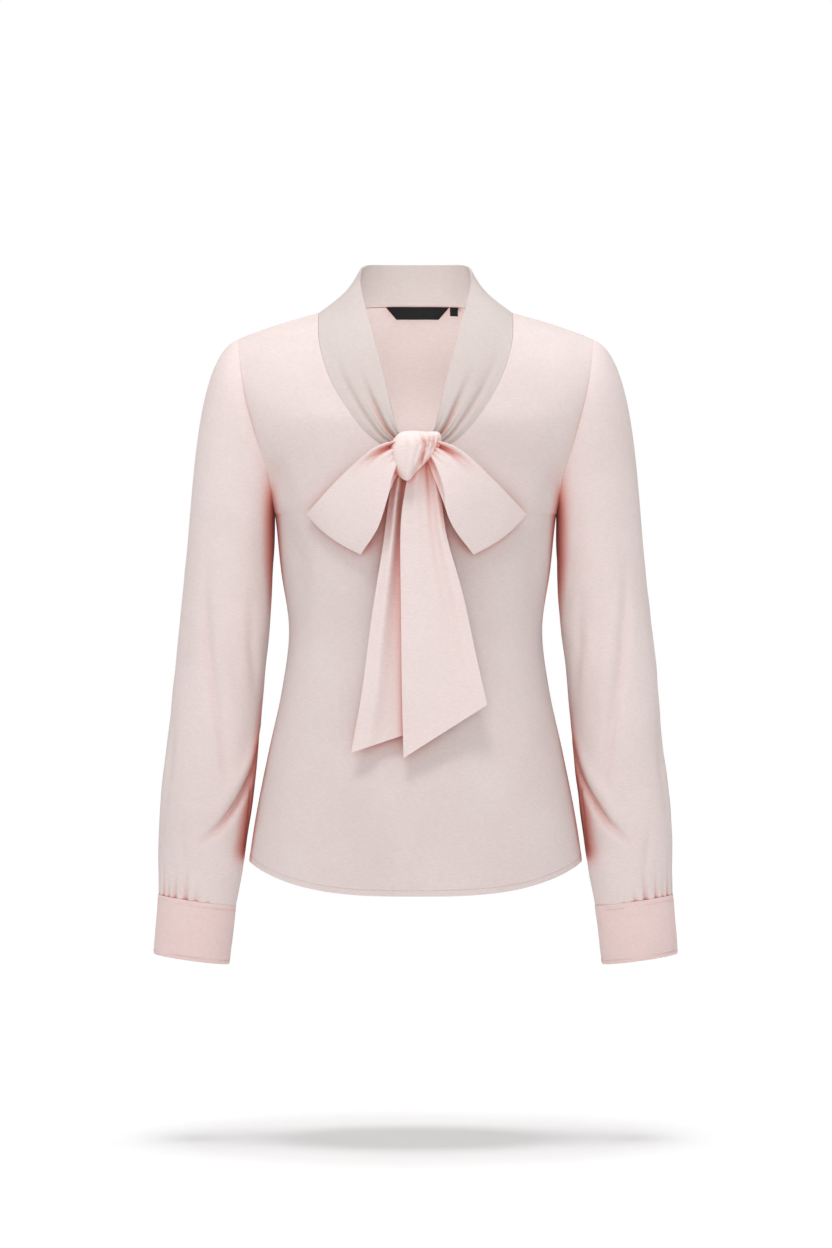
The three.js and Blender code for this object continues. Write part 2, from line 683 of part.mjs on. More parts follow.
function buildCuff(side) {
  const sheet = newSheet();
  const rows = CUFF_SECTIONS.length - 1;
  const at = (i, j) => sectionPoint(CUFF_SECTIONS, side, 2 * Math.PI * i / CUFF_COLUMNS, CUFF_SECTIONS[j].z);
  addGrid(sheet, CUFF_COLUMNS, rows, at, { closed: true, turned: side < 0 });
  return wallOf(sheet, CUFF_WALL);
}

// Lower edge of the collar, a gap inside the panels' neckline; it lifts off towards the knot
function collarSeam(edges, column) {
  if (column <= COLLAR_BACK_COLUMNS) {
    return onEdge(edges.back, column / COLLAR_BACK_COLUMNS);
  }
  const down = (column - COLLAR_BACK_COLUMNS) / COLLAR_FRONT_COLUMNS;
  const lift = COLLAR_END_LIFT * ease((down - COLLAR_LIFT_START) / (1 - COLLAR_LIFT_START));
  return onEdge(edges.front, Math.min(down, COLLAR_END)).add(vector(0, -lift, 0));
}

// Point of the collar between its seam and its fold edge, hollow at the back and rolled at the front
function collarPoint(edges, side, column, up) {
  const share = column / (COLLAR_BACK_COLUMNS + COLLAR_FRONT_COLUMNS);
  const [x, y, z] = ['x', 'y', 'z'].map((axis) => lookUp(COLLAR_FOLD, 'share', share, axis));
  const point = collarSeam(edges, column).lerp(vector(x, y, z), up);
  const arch = Math.sin(Math.PI * up);
  const toFront = ease((share - COLLAR_TURN.start) / COLLAR_TURN.length);
  const { x: out, yFront, zBack, zFront } = COLLAR_OUTWARD;
  const outward = vector(out, yFront * toFront, mix(zBack, zFront, toFront)).normalize();
  const fade = 1 - ease((share - COLLAR_FADE.start) / COLLAR_FADE.length);
  const roll = mix(-COLLAR_HOLLOW * ease(share / COLLAR_HOLLOW_REACH), COLLAR_ROLL, toFront) * fade;
  point.addScaledVector(outward, roll * arch);
  for (const line of COLLAR_FOLDS) {
    const near = Math.exp(-(((up - line.share) / COLLAR_FOLD_WIDTH) ** 2));
    point.y += line.depth * near * arch * ease((share - line.start) / COLLAR_FOLD_LENGTH);
  }
  point.x *= side;
  return point;
}

function buildCollar(knotCutter, tools) {
  const sheet = newSheet();
  const edges = necklineEdges();
  const columns = COLLAR_BACK_COLUMNS + COLLAR_FRONT_COLUMNS;
  for (const side of [-1, 1]) {
    const at = (i, j) => collarPoint(edges, side, i, j / COLLAR_ROWS);
    addGrid(sheet, columns, COLLAR_ROWS, at, { turned: side > 0 });
  }
  return tools.cut(wallOf(sheet, COLLAR_WALL), [knotCutter]);
}

// Knot, grown all round by a clearance when it cuts the pieces that run into it
function buildKnot(grown = 0) {
  const sheet = newSheet();
  const outline = new THREE.CatmullRomCurve3(KNOT_OUTLINE.map((p) => vector(p.x, 0, p.z)), true, 'centripetal');
  const at = (i, j) => {
    const rim = outline.getPoint(i / KNOT_AROUND);
    const layer = Math.PI * (j / KNOT_LAYERS - 0.5);
    const out = Math.cos(layer) ** KNOT_FULLNESS;
    const deep = Math.sin(layer) < 0 ? KNOT_FRONT : KNOT_BACK;
    const x = rim.x * out;
    const z = rim.z * out;
    const wrap = Math.sin(layer) < 0 ? pressed(KNOT_CREASES, x, z) : 0;
    const size = rim.length();
    return vector(
      KNOT_CENTRE.x + x * (1 + grown / size),
      KNOT_CENTRE.y + (deep + grown) * Math.sin(layer) + wrap,
      KNOT_CENTRE.z + z * (1 + grown / size),
    );
  };
  addGrid(sheet, KNOT_AROUND, KNOT_LAYERS, at, { closed: true, turned: false });
  return geometryOf(sheet.points, sheet.faces);
}

// Depth of the valleys that run out of the knot along a loop
function loopValleys(loop, out, across) {
  const width = LOOP_VALLEY_WIDTH * (1 + LOOP_VALLEY_SPREAD * out);
  let sum = 0;
  for (const valley of loop.valleys) {
    const near = Math.exp(-(((across - valley.across) / width) ** 2));
    sum += valley.depth * near * ease(1 - out / valley.reach);
  }
  return sum;
}

// Direction in which a loop runs out of the knot
function loopHeading(loop) {
  const upper = loop.upper[loop.upper.length - 1];
  const lower = loop.lower[loop.lower.length - 1];
  return vector(upper.x + lower.x, 0, upper.z + lower.z - 2 * KNOT_CENTRE.z).normalize();
}

// One loop of the bow: out along the front layer, round the fold and back behind it
function loopPoint(loop, around, across) {
  const angle = mix(LOOP_START_ANGLE, 2 * Math.PI - LOOP_START_ANGLE, around);
  const start = Math.sin(LOOP_START_ANGLE / 2);
  const out = (Math.sin(angle / 2) - start) / (1 - start);
  const point = along(loop.lower, out).lerp(along(loop.upper, out), across);
  point.addScaledVector(loopHeading(loop), LOOP_END_BOW * Math.sin(Math.PI * across) * out * out);
  const behind = ease((around - LOOP_BEHIND.start) / LOOP_BEHIND.length);
  point.x += loop.slip * behind * out * (1 - across);
  const puff = Math.sin(angle) > 0 ? LOOP_FRONT_PUFF : LOOP_BACK_PUFF;
  const rest = bodyDepth(FRONT, point.x, point.z) - LOOP_REST;
  const middle = mix(LOOP_DEPTH, rest, ease(out) ** LOOP_REST_POWER);
  point.y = middle - puff * Math.sin(angle) + loopValleys(loop, out, across);
  return point;
}

function buildLoop(loop, knotCutter, tools) {
  const sheet = newSheet();
  const at = (i, j) => loopPoint(loop, i / LOOP_LENGTHS, j / LOOP_WIDTHS);
  addGrid(sheet, LOOP_LENGTHS, LOOP_WIDTHS, at, { turned: loop.upper[0].x < 0 });
  return tools.cut(wallOf(sheet, TIE_WALL), [knotCutter]);
}

// One tail of the bow: it hangs in front of the chest, held off at the knot and lifted a little at its end
function tailPoint(tail, down, across) {
  const point = along(tail.left, down).lerp(along(tail.right, down), across);
  const drop = tail.left[0].z - point.z;
  const topLift = TAIL_TOP_LIFT * ease(1 - drop / TAIL_LIFT_LENGTH);
  const endLift = TAIL_END_LIFT.height * ease((down - TAIL_END_LIFT.start) / (1 - TAIL_END_LIFT.start));
  let fold = 0;
  for (const line of tail.folds) {
    fold += line.depth * Math.exp(-(((across - line.across) / line.width) ** 2));
  }
  fold *= mix(TAIL_FOLD_SHARE.top, TAIL_FOLD_SHARE.bottom, down);
  const plumb = Math.min(bodyDepth(FRONT, point.x, point.z), -TAIL_PLUMB);
  point.y = plumb - tail.clear - topLift - endLift + fold;
  return point;
}

function buildTail(tail, knotCutter, tools) {
  const sheet = newSheet();
  const at = (i, j) => tailPoint(tail, j / TAIL_LENGTHS, i / TAIL_WIDTHS);
  addGrid(sheet, TAIL_WIDTHS, TAIL_LENGTHS, at, { turned: true });
  return tools.cut(wallOf(sheet, TIE_WALL), [knotCutter]);
}

// A label hangs from the back neck seam, just inside the collar
function buildLabel(tab) {
  const sheet = newSheet();
  const { back } = necklineEdges();
  const at = (i, j) => {
    const half = mix(tab.top, tab.bottom, j);
    const x = tab.centre + mix(-half, half, i / LABEL_COLUMNS);
    const seam = back.findIndex((p) => p.x > Math.abs(x));
    const part = (Math.abs(x) - back[seam - 1].x) / (back[seam].x - back[seam - 1].x);
    const hold = back[seam - 1].clone().lerp(back[seam], part);
    return vector(x, hold.y - COLLAR_WALL - SEAM_GAP, hold.z - LABEL_DROP - j * tab.height);
  };
  addGrid(sheet, LABEL_COLUMNS, 1, at, { turned: false });
  return wallOf(sheet, LABEL_WALL);
}

// Cuts closed solids with one another
async function solidTools() {
  const wasm = await Module();
  wasm.setup();
  const solid = (geometry) => new wasm.Manifold(new wasm.Mesh({
    numProp: 3,
    vertProperties: new Float32Array(geometry.attributes.position.array),
    triVerts: new Uint32Array(geometry.index.array),
  }));
  const cut = (geometry, cutters) => {
    let rest = solid(geometry);
    for (const cutter of cutters) rest = rest.subtract(solid(cutter));
    const pieces = rest.decompose().sort((a, b) => b.volume() - a.volume());
    const mesh = pieces[0].getMesh();
    const result = new THREE.BufferGeometry();
    result.setAttribute('position', new THREE.BufferAttribute(new Float32Array(mesh.vertProperties), 3));
    result.setIndex(Array.from(mesh.triVerts));
    result.computeVertexNormals();
    return result;
  };
  return { cut };
}

function crepe(colour) {
  return new THREE.MeshStandardMaterial({ color: colour, roughness: 0.78, metalness: 0 });
}

function satin(colour) {
  return new THREE.MeshStandardMaterial({ color: colour, roughness: 0.45, metalness: 0 });
}

function named(name, geometry, material) {
  const mesh = new THREE.Mesh(geometry, material);
  mesh.name = name;
  return mesh;
}

const tools = await solidTools();
const knotCutter = buildKnot(SEAM_GAP);
const blouse = new THREE.Group();
blouse.name = 'tie_neck_blouse';
blouse.add(
  named('front', buildFront(), crepe(CREPE_BODY)),
  named('back', buildBack(), crepe(CREPE_BODY)),
  named('sleeve_left', buildSleeve(-1), crepe(CREPE_SLEEVE)),
  named('sleeve_right', buildSleeve(1), crepe(CREPE_SLEEVE)),
  named('cuff_left', buildCuff(-1), crepe(CREPE_CUFF)),
  named('cuff_right', buildCuff(1), crepe(CREPE_CUFF)),
  named('collar', buildCollar(knotCutter, tools), crepe(CREPE_COLLAR)),
  named('knot', buildKnot(), crepe(CREPE_TIE)),
  named('loop_left', buildLoop(LEFT_LOOP, knotCutter, tools), crepe(CREPE_TIE)),
  named('loop_right', buildLoop(RIGHT_LOOP, knotCutter, tools), crepe(CREPE_TIE)),
  named('tail_left', buildTail(LEFT_TAIL, knotCutter, tools), crepe(CREPE_TIE)),
  named('tail_right', buildTail(RIGHT_TAIL, knotCutter, tools), crepe(CREPE_TIE)),
  named('label', buildLabel(LABEL_TAB), satin(LABEL_BLACK)),
  named('size_tab', buildLabel(SIZE_TAB), satin(LABEL_BLACK)),
);

export default blouse;
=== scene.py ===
# A tie-neck blouse in light crepe, filled out as worn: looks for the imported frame.
# Sizes below are in millimetres, as on the pattern; meshes are made in metres.
import math

import bpy
import numpy as np
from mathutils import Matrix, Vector


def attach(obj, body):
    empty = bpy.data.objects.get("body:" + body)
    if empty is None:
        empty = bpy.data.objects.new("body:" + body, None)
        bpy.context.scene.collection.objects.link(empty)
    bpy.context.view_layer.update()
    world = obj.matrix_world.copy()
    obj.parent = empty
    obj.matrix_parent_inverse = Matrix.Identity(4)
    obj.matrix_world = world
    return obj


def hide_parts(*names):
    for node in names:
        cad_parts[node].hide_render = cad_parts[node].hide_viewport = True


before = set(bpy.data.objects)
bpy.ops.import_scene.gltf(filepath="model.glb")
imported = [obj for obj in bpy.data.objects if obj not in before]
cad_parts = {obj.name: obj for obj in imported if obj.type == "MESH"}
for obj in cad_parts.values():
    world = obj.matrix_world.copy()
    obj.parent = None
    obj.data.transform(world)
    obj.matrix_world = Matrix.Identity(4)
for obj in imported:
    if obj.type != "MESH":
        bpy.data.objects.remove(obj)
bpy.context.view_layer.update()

MM = 0.001
SEAM_GAP = 0.3
SEAM_DIP = 0.4
CLOTH = 1.1
CUFF_CLOTH = 2.2
COLLAR_CLOTH = 1.9
TIE_CLOTH = 1.4
LABEL_CLOTH = 0.7

# Shoulder line, neck and armhole
NECK_HALF_WIDTH = 100
SHOULDER_HALF_WIDTH = 182
SHOULDER_DROP = 27
BACK_NECK_RISE = 10.5
ARMHOLE_TOP = -SHOULDER_DROP
ARMHOLE_BOTTOM = -208
ARMHOLE_HALF_DEPTH = 58
ARMHOLE_MIDDLE = (ARMHOLE_TOP + ARMHOLE_BOTTOM) / 2
ARMHOLE_HALF_HEIGHT = (ARMHOLE_TOP - ARMHOLE_BOTTOM) / 2

# Hem
HEM_CENTRE = -593
HEM_SIDE = -563
HEM_CURVE = 2.7
HEM_CURVE_ABOVE = 2
HEM_TURNING = 7
HEM_RAISE = 0.45
HEM_ROWS = (0, 0.8, HEM_TURNING - 1.2, HEM_TURNING - 0.4, HEM_TURNING + 0.4, HEM_TURNING + 1.6)

# Stitches along the turned hem and the cuffs
STITCH_LENGTH = 2
STITCH_STEP = 2.9
STITCH_HALF_WIDTH = 0.28
STITCH_HEIGHT = 0.22
HEM_STITCH_LINE = 6.1
CUFF_STITCH_LINES = (5.2, 57)
STITCH_PATH_POINTS = 200

# Body form; the relief calms down towards the side seams and the shoulders
NECK_ROUNDNESS = 30
SECTION_SQUARENESS = 0.88
ARMHOLE_TURN = 35
ARMHOLE_TURN_HEIGHT = 100
ARMHOLE_BLEND_POWER = 3
ARMHOLE_BLEND_HEIGHT = 100
SHOULDER_EDGE = 0.5
SEAM_CALM_DEPTH = 30
CHEST_SHARE = 0.25
BACK_ROW_CROWDING = 0.85
EDGE_COLUMNS = (0.991, 0.996, 1)
PANEL_RELIEF = (
    {"height": 0.9, "size": 75, "stretch": 0.45},
    {"height": 0.35, "size": 30, "stretch": 0.6},
)
BODY_SECTIONS = (
    {"z": -610, "half": 177, "front": 118, "back": 112},
    {"z": -558, "half": 170.5, "front": 116, "back": 110},
    {"z": -512, "half": 163.3, "front": 113, "back": 107},
    {"z": -450, "half": 150.9, "front": 108, "back": 101},
    {"z": -388, "half": 137.5, "front": 103, "back": 93},
    {"z": -326, "half": 130.3, "front": 101, "back": 88},
    {"z": -265, "half": 138.5, "front": 109, "back": 95},
    {"z": -208, "half": 144.8, "front": 116, "back": 103},
    {"z": -150, "half": 156, "front": 119, "back": 107},
    {"z": -88, "half": 173.7, "front": 119, "back": 109},
    {"z": -27, "half": 182, "front": 119, "back": 109},
    {"z": 40, "half": 182, "front": 119, "back": 109},
)
ARMHOLE_LINE = (
    {"z": -208, "x": 144.8},
    {"z": -172, "x": 149.5},
    {"z": -130, "x": 162},
    {"z": -88, "x": 173},
    {"z": -57, "x": 178.5},
    {"z": -27, "x": 182},
)
FRONT_NECKLINE = (
    {"x": 0, "z": -151},
    {"x": 34, "z": -141},
    {"x": 50, "z": -128},
    {"x": 70, "z": -102},
    {"x": 87, "z": -71},
    {"x": 98, "z": -34},
    {"x": 100, "z": 0},
)

# Sleeves and cuffs
SLEEVE_SECTIONS = (
    {"z": -254, "centre": 190.6, "half": 44.8, "depth": 46, "tilt": 1},
    {"z": -311, "centre": 195.3, "half": 46.4, "depth": 44, "tilt": 3},
    {"z": -373, "centre": 201.5, "half": 46.4, "depth": 42, "tilt": 5},
    {"z": -435, "centre": 207.7, "half": 46.4, "depth": 41, "tilt": 6},
    {"z": -496, "centre": 214.3, "half": 46.9, "depth": 40, "tilt": 6.5},
    {"z": -543, "centre": 219, "half": 45.3, "depth": 38, "tilt": 7},
    {"z": -574, "centre": 222, "half": 43.3, "depth": 34, "tilt": 7.5},
    {"z": -603.9, "centre": 224.8, "half": 40.3, "depth": 29.1, "tilt": 8},
)
SLEEVE_HEAD = {"out": 130, "down": 40, "underarm": 46, "end": 0.1}
SLEEVE_RADIUS = 45
SLEEVE_SEED = 20
SLEEVE_RELIEF = (
    {"height": 0.9, "size": 60, "slant_out": 0.4, "slant_deep": 0.25},
    {"height": 0.3, "size": 28, "slant_out": 0.8, "slant_deep": -0.5},
)
SLEEVE_RELIEF_TOP = {"z": -210, "fade": 60}
SLEEVE_RELIEF_SEAM_FADE = 30
CUFF_SECTIONS = (
    {"z": -604, "centre": 224.9, "half": 40.8, "depth": 29.6, "tilt": 8},
    {"z": -634, "centre": 227.9, "half": 40.2, "depth": 29, "tilt": 8},
    {"z": -665, "centre": 230.9, "half": 39.6, "depth": 28.2, "tilt": 8},
)
CUFF_STEPS = (0, 0.8, 2.2, 3.4, 4.4, 6, 12, 20, 30, 40, 50, 56, 58.6, 60.2, 61)
CUFF_DIPS = {0: 0.35, 0.8: 0.1, 3.4: 0.28, 60.2: 0.25, 61: 0.8}
CUFF_RELIEF = {"height": 0.35, "size": 40, "out": 40, "deep": 30, "seed": 31}
DEGREE_ROUND_SLEEVE = 0.78

# Creases: a path, how deep and how wide. Sleeve paths run in degrees round the sleeve, from the outside
# over the front, and height; body paths run in x and height.
SLEEVE_CREASES = (
    {"depth": 3.4, "width": 6,
     "path": ((60, -262), (64, -300), (76, -356), (93, -409), (111, -463), (123, -490))},
    {"depth": -1.6, "width": 7, "path": ((82, -300), (96, -356), (112, -405))},
    {"depth": 7.0, "width": 4.6, "path": ((180, -430), (165, -463), (139, -496), (119, -520), (92, -543))},
    {"depth": -2.6, "width": 7, "path": ((168, -420), (148, -455), (124, -488), (104, -512))},
    {"depth": 1.8, "width": 3, "path": ((158, -468), (164, -510), (172, -548), (178, -590))},
    {"depth": 2.2, "width": 7, "path": ((124, -290), (132, -340), (150, -390))},
    {"depth": 1.6, "width": 5, "path": ((60, -528), (70, -570))},
    {"depth": 2.0, "width": 7, "path": ((24, -420), (30, -480), (24, -540))},
    {"depth": 3.5, "width": 8, "path": ((250, -300), (262, -400), (240, -470))},
    {"depth": 4.5, "width": 7, "path": ((205, -455), (232, -500), (262, -530))},
    {"depth": 2.4, "width": 6, "path": ((300, -330), (288, -420))},
)
CUFF_GATHERS = (
    {"angle": -96, "length": 26, "depth": 1.7},
    {"angle": -78, "length": 38, "depth": 2.2},
    {"angle": -62, "length": 24, "depth": 1.6},
    {"angle": -46, "length": 34, "depth": 2.1},
    {"angle": -27, "length": 26, "depth": 1.8},
    {"angle": -8, "length": 34, "depth": 2.0},
    {"angle": 12, "length": 30, "depth": 2.2},
    {"angle": 30, "length": 44, "depth": 2.6},
    {"angle": 43, "length": 24, "depth": 1.8},
    {"angle": 56, "length": 36, "depth": 2.4},
    {"angle": 74, "length": 48, "depth": 2.8},
    {"angle": 90, "length": 26, "depth": 1.6},
    {"angle": 108, "length": 18, "depth": 0.8},
)
GATHER_WIDTH = 2.6
FRONT_CREASES = (
    {"depth": 4, "width": 10, "path": ((-136, -212), (-116, -258), (-119, -322))},
    {"depth": 4, "width": 10, "path": ((137, -214), (119, -255), (124, -316))},
    {"depth": 2.5, "width": 9, "path": ((-150, -150), (-121, -205))},
    {"depth": 2.5, "width": 9, "path": ((149, -156), (123, -212))},
)
BACK_CREASES = (
    {"depth": 4.5, "width": 12, "path": ((-66, -235), (-58, -330), (-70, -420))},
    {"depth": 4, "width": 12, "path": ((60, -225), (66, -318), (58, -408))},
    {"depth": 3, "width": 10, "path": ((-138, -205), (-106, -262))},
    {"depth": 3, "width": 10, "path": ((136, -202), (110, -268))},
)

# Collar; shares run from the centre back to the knot
COLLAR_FOLD = (
    {"share": 0, "x": 0, "y": 46, "z": 53.5},
    {"share": 0.16, "x": 30, "y": 41, "z": 53},
    {"share": 0.32, "x": 53, "y": 22, "z": 50.5},
    {"share": 0.44, "x": 58, "y": -4, "z": 39},
    {"share": 0.56, "x": 52, "y": -38, "z": 6},
    {"share": 0.68, "x": 41, "y": -70, "z": -36},
    {"share": 0.82, "x": 29, "y": -99, "z": -84},
    {"share": 0.93, "x": 20, "y": -121, "z": -121},
    {"share": 1, "x": 11, "y": -133, "z": -141},
)
COLLAR_BACK_SHARE = 10 / 22
COLLAR_END = 0.93
COLLAR_END_LIFT = 14
COLLAR_LIFT_START = 0.84
COLLAR_ROLL = 4
COLLAR_HOLLOW = 3
COLLAR_HOLLOW_LENGTH = 0.3
COLLAR_TURN = {"start": 0.4, "length": 0.3}
COLLAR_CALM = {"start": 0.8, "length": 0.2}
COLLAR_OUTWARD = {"x": 0.8, "y_front": -0.7, "z_back": 0.1, "z_front": 0.5}
COLLAR_FOLD_LENGTH = 0.2
NECK_EDGE_POINTS = 41
NECK_INSIDE_ROWS = 6
NECK_INSIDE_SHARE = 1 / 12
COLLAR_FOLDS = (
    {"share": 0.22, "depth": 3.4, "start": 0.56, "width": 0.07},
    {"share": 0.56, "depth": 4.0, "start": 0.66, "width": 0.08},
    {"share": 0.38, "depth": 1.8, "start": 0.74, "width": 0.06},
    {"share": 0.8, "depth": 1.4, "start": 0.8, "width": 0.06},
)

# Knot: outline seen from the front, about its centre
KNOT_CENTRE = {"x": -1.5, "y": -139, "z": -147}
KNOT_OUTLINE = (
    {"x": -23.5, "z": 4},
    {"x": -14.5, "z": 16.5},
    {"x": -1.5, "z": 18.8},
    {"x": 12, "z": 18},
    {"x": 25, "z": 17},
    {"x": 27.5, "z": 8},
    {"x": 22, "z": -4},
    {"x": 12, "z": -13},
    {"x": 3, "z": -22},
    {"x": -6.5, "z": -31},
    {"x": -18, "z": -23.5},
    {"x": -24, "z": -10},
)
KNOT_FRONT = 15
KNOT_BACK = 13
KNOT_SQUARENESS = 0.8
KNOT_CREASES = (
    {"depth": 6, "width": 2.2, "path": ((6, 19), (11, 2), (6, -14), (-2, -26))},
    {"depth": 3.2, "width": 1.5, "path": ((14, 18), (15, 6), (12, -10))},
    {"depth": 3.0, "width": 1.4, "path": ((20, 17), (19, 5), (15, -8))},
    {"depth": 2.6, "width": 1.5, "path": ((25, 12), (23, 3), (18, -5))},
    {"depth": 1.6, "width": 1.8, "path": ((1, 18), (4, 4), (-1, -18))},
    {"depth": 1.2, "width": 1.6, "path": ((-8, 17), (-7, 2), (-9, -20))},
)

# Loops: upper and lower edge seen from the front, from the knot out to the fold
LEFT_LOOP = {
    "upper": ((-14, -137), (-39, -145), (-71.5, -170.5), (-110.5, -210.5)),
    "lower": ((-12, -160), (-24, -184), (-38, -225), (-55, -251)),
    "slip": -3,
    "valleys": (
        {"across": 0.87, "depth": 9, "reach": 0.85, "width": 0.055},
        {"across": 0.60, "depth": 2.2, "reach": 0.4, "width": 0.06},
        {"across": 0.45, "depth": 1.8, "reach": 0.5, "width": 0.06},
    ),
    "tuck": {"depth": 9, "across": 0.34, "reach": 0.42},
}
RIGHT_LOOP = {
    "upper": ((14, -136), (42, -146), (75, -174), (112, -210.5)),
    "lower": ((12, -158), (25, -192), (37, -223), (58, -251)),
    "slip": 6,
    "valleys": (
        {"across": 0.86, "depth": 9, "reach": 0.8, "width": 0.055},
        {"across": 0.66, "depth": 2.4, "reach": 0.35, "width": 0.05},
        {"across": 0.50, "depth": 1.6, "reach": 0.5, "width": 0.06},
    ),
    "tuck": {"depth": 9, "across": 0.4, "reach": 0.55},
}
LOOP_START_ANGLE = 0.34
LOOP_END_BOW = 4
LOOP_FRONT_PUFF = 12
LOOP_BACK_PUFF = 4
LOOP_DEPTH = -142
LOOP_REST = 8
LOOP_FALL = 1.5
LOOP_TURN = {"start": 0.45, "length": 0.35}
LOOP_BACK_PLEATS = 0.6
VALLEY_SPREAD = 1.5
TUCK_EDGE = 0.1

# Tails: left and right edge seen from the front, from the knot down
LEFT_TAIL = {
    "left": ((-16.5, -155), (-24.5, -184), (-32.5, -241), (-43.5, -311), (-54, -391), (-64.5, -449)),
    "right": ((2, -155), (6, -184), (9, -241), (12.5, -311), (14.5, -380), (16.5, -422)),
    "clear": 4,
    "folds": (
        {"across": 0.2, "depth": -4.5, "width": 0.10},
        {"across": 0.42, "depth": 3.5, "width": 0.13},
    ),
}
RIGHT_TAIL = {
    "left": ((-3.5, -150), (-10, -184), (-14.5, -216), (-14.5, -311), (-13.5, -396), (-12, -454)),
    "right": ((16, -150), (24, -184), (31, -232), (47, -290), (60, -350), (71.5, -401)),
    "clear": 10,
    "folds": (
        {"across": 0.3, "depth": -2.0, "width": 0.16},
        {"across": 0.72, "depth": 2.6, "width": 0.1},
        {"across": 0.9, "depth": -1.6, "width": 0.08},
    ),
}
TAIL_PLUMB = 119
TAIL_TOP_LIFT = 6
TAIL_LIFT_LENGTH = 45
TAIL_END_LIFT = -4
TAIL_END_START = 0.5
TAIL_FOLD_TOP = 1.1
TAIL_FOLD_END = 0.5

LABEL_TAB = {"centre": 2, "top": 33, "bottom": 22, "height": 13}
SIZE_TAB = {"centre": 40, "top": 4, "bottom": 4, "height": 9}
LABEL_DROP = 1
LABEL_CLEAR = 1.4 * SEAM_GAP

# Uneven relief and creases
RIPPLE_WAVES = 9
RIPPLE_LENGTHS = (0.7, 1.8)
RIPPLE_PEAK = 1.6
CREASE_END_SHARE = 0.25
SHARP_ANGLE = 50

# Camera: the photograph is 832 by 1248 pixels, level, square on to the front
PHOTO_HEIGHT = 1248
PHOTO_MIDDLE = {"x": 416, "y": 624}
PHOTO_ORIGIN = {"x": 415.6, "y": 313}
MM_PER_PIXEL = 1.03
CAMERA_DISTANCE = 4000
SENSOR = 36

# Floor and lights; the lights' places and sizes are in metres
FLOOR_Z = -850
FLOOR_HALF_WIDTH = 30
FLOOR_NOISE_SCALE = 3
FLOOR_WHITES = (0xfafafa, 0xffffff)
FLOOR_SURFACE = {"Roughness": 0.9, "Emission Color": (1, 1, 1, 1), "Emission Strength": 0.17}
AMBIENT_LIGHT = 0.4
OVERHEAD_SUN = {"angle": 26, "strength": 1.5}
GARMENT_MIDDLE = (0, 0, -0.3)
KEY_LIGHT = {"place": (-0.25, -1.3, 1.7), "aim": GARMENT_MIDDLE, "size": (0.7, 0.5), "power": 22}
FRONT_LIGHT = {"place": (0, -5.0, 0.7), "aim": GARMENT_MIDDLE, "size": (2.5, 2.0), "power": 42}
NECK_LIGHT = {"place": (0, -0.04, -0.1), "aim": (0, 0.08, 0.02), "size": (0.12, 0.06), "power": 0.17}

# Cloth: noises are scale, detail and roughness; bump heights are in metres
# Painted shade: how far nearby cloth reaches to darken the colour, and the pinks it is darkened to in folds
# and under the bow
PAINTED_SHADE_REACH = 22
PAINTED_SHADE_SAMPLES = 8
PAINTED_SHADE_STOPS = {"deep": 0.1, "pink": 0.45, "clear": 0.94}
PAINTED_SHADE_PINK = 0xf5b3a9
PAINTED_DEEP_SHADE_PINK = 0xd88070
WHITE = (1, 1, 1, 1)
TINT_NOISE = (9, 4)
SLUB_SHADE = (0.90, 0.87, 0.87, 1)
SLUB_SCALE = (220, 220, 1000)
SLUB_NOISE = (1, 3, 0.6)
SLUB_STOPS = (0.38, 0.62)
SLUB_SHARE = 0.5
CRINKLE = {"noise": (1100, 3, 0.6), "strength": 0.22, "height": 0.0004}
SOFTNESS = {"noise": (70, 4, 0.5), "strength": 0.25, "height": 0.0015}
CREPE_SURFACE = {
    "Roughness": 0.72,
    "Sheen Weight": 0.05,
    "Sheen Roughness": 0.5,
    "Specular IOR Level": 0.25,
    "Subsurface Weight": 0.25,
    "Subsurface Radius": (1, 0.8, 0.75),
    "Subsurface Scale": 0.0015,
}
SATIN_DARK = 0x0a0a0a
SATIN_NOISE = (600, 2)
SATIN_RIBS = {"scale": 900, "strength": 0.3, "height": 0.0002}
SATIN_SURFACE = {"Roughness": 0.6, "Specular IOR Level": 0.2}

# Body panels: where the centre of the underarm row lies, and how much relief is lost towards the shoulder
FRONT = {"depth": "front", "face": -1, "reach": 220, "power": 1.8, "creases": FRONT_CREASES,
         "seed": 3, "underarm": ARMHOLE_BOTTOM - 6, "calm": 0.5}
BACK = {"depth": "back", "face": 1, "reach": 130, "power": 2, "creases": BACK_CREASES,
        "seed": 8, "underarm": ARMHOLE_BOTTOM + 4, "calm": 0.6}


def mix(a, b, t):
    return a + (b - a) * t


def ease(value):
    t = np.clip(value, 0, 1)
    return t * t * (3 - 2 * t)


def hermite(start, end, start_slope, end_slope, t):
    t2 = t * t
    t3 = t2 * t
    return (start * (2 * t3 - 3 * t2 + 1) + start_slope * (t3 - 2 * t2 + t)
            + end * (3 * t2 - 2 * t3) + end_slope * (t3 - t2))


def look_up(table, key, value, column):
    """Smooth value of one column of a table, looked up by another column."""
    rows = sorted(table, key=lambda row: row[key])
    keys = np.array([row[key] for row in rows], float)
    values = np.array([row[column] for row in rows], float)
    low = np.maximum(np.arange(len(rows)) - 1, 0)
    high = np.minimum(np.arange(len(rows)) + 1, len(rows) - 1)
    slopes = (values[high] - values[low]) / (keys[high] - keys[low])
    value = np.asarray(value, float)
    i = np.clip(np.searchsorted(keys, value) - 1, 0, len(rows) - 2)
    span = keys[i + 1] - keys[i]
    t = np.clip((value - keys[i]) / span, 0, 1)
    return hermite(values[i], values[i + 1], slopes[i] * span, slopes[i + 1] * span, t)


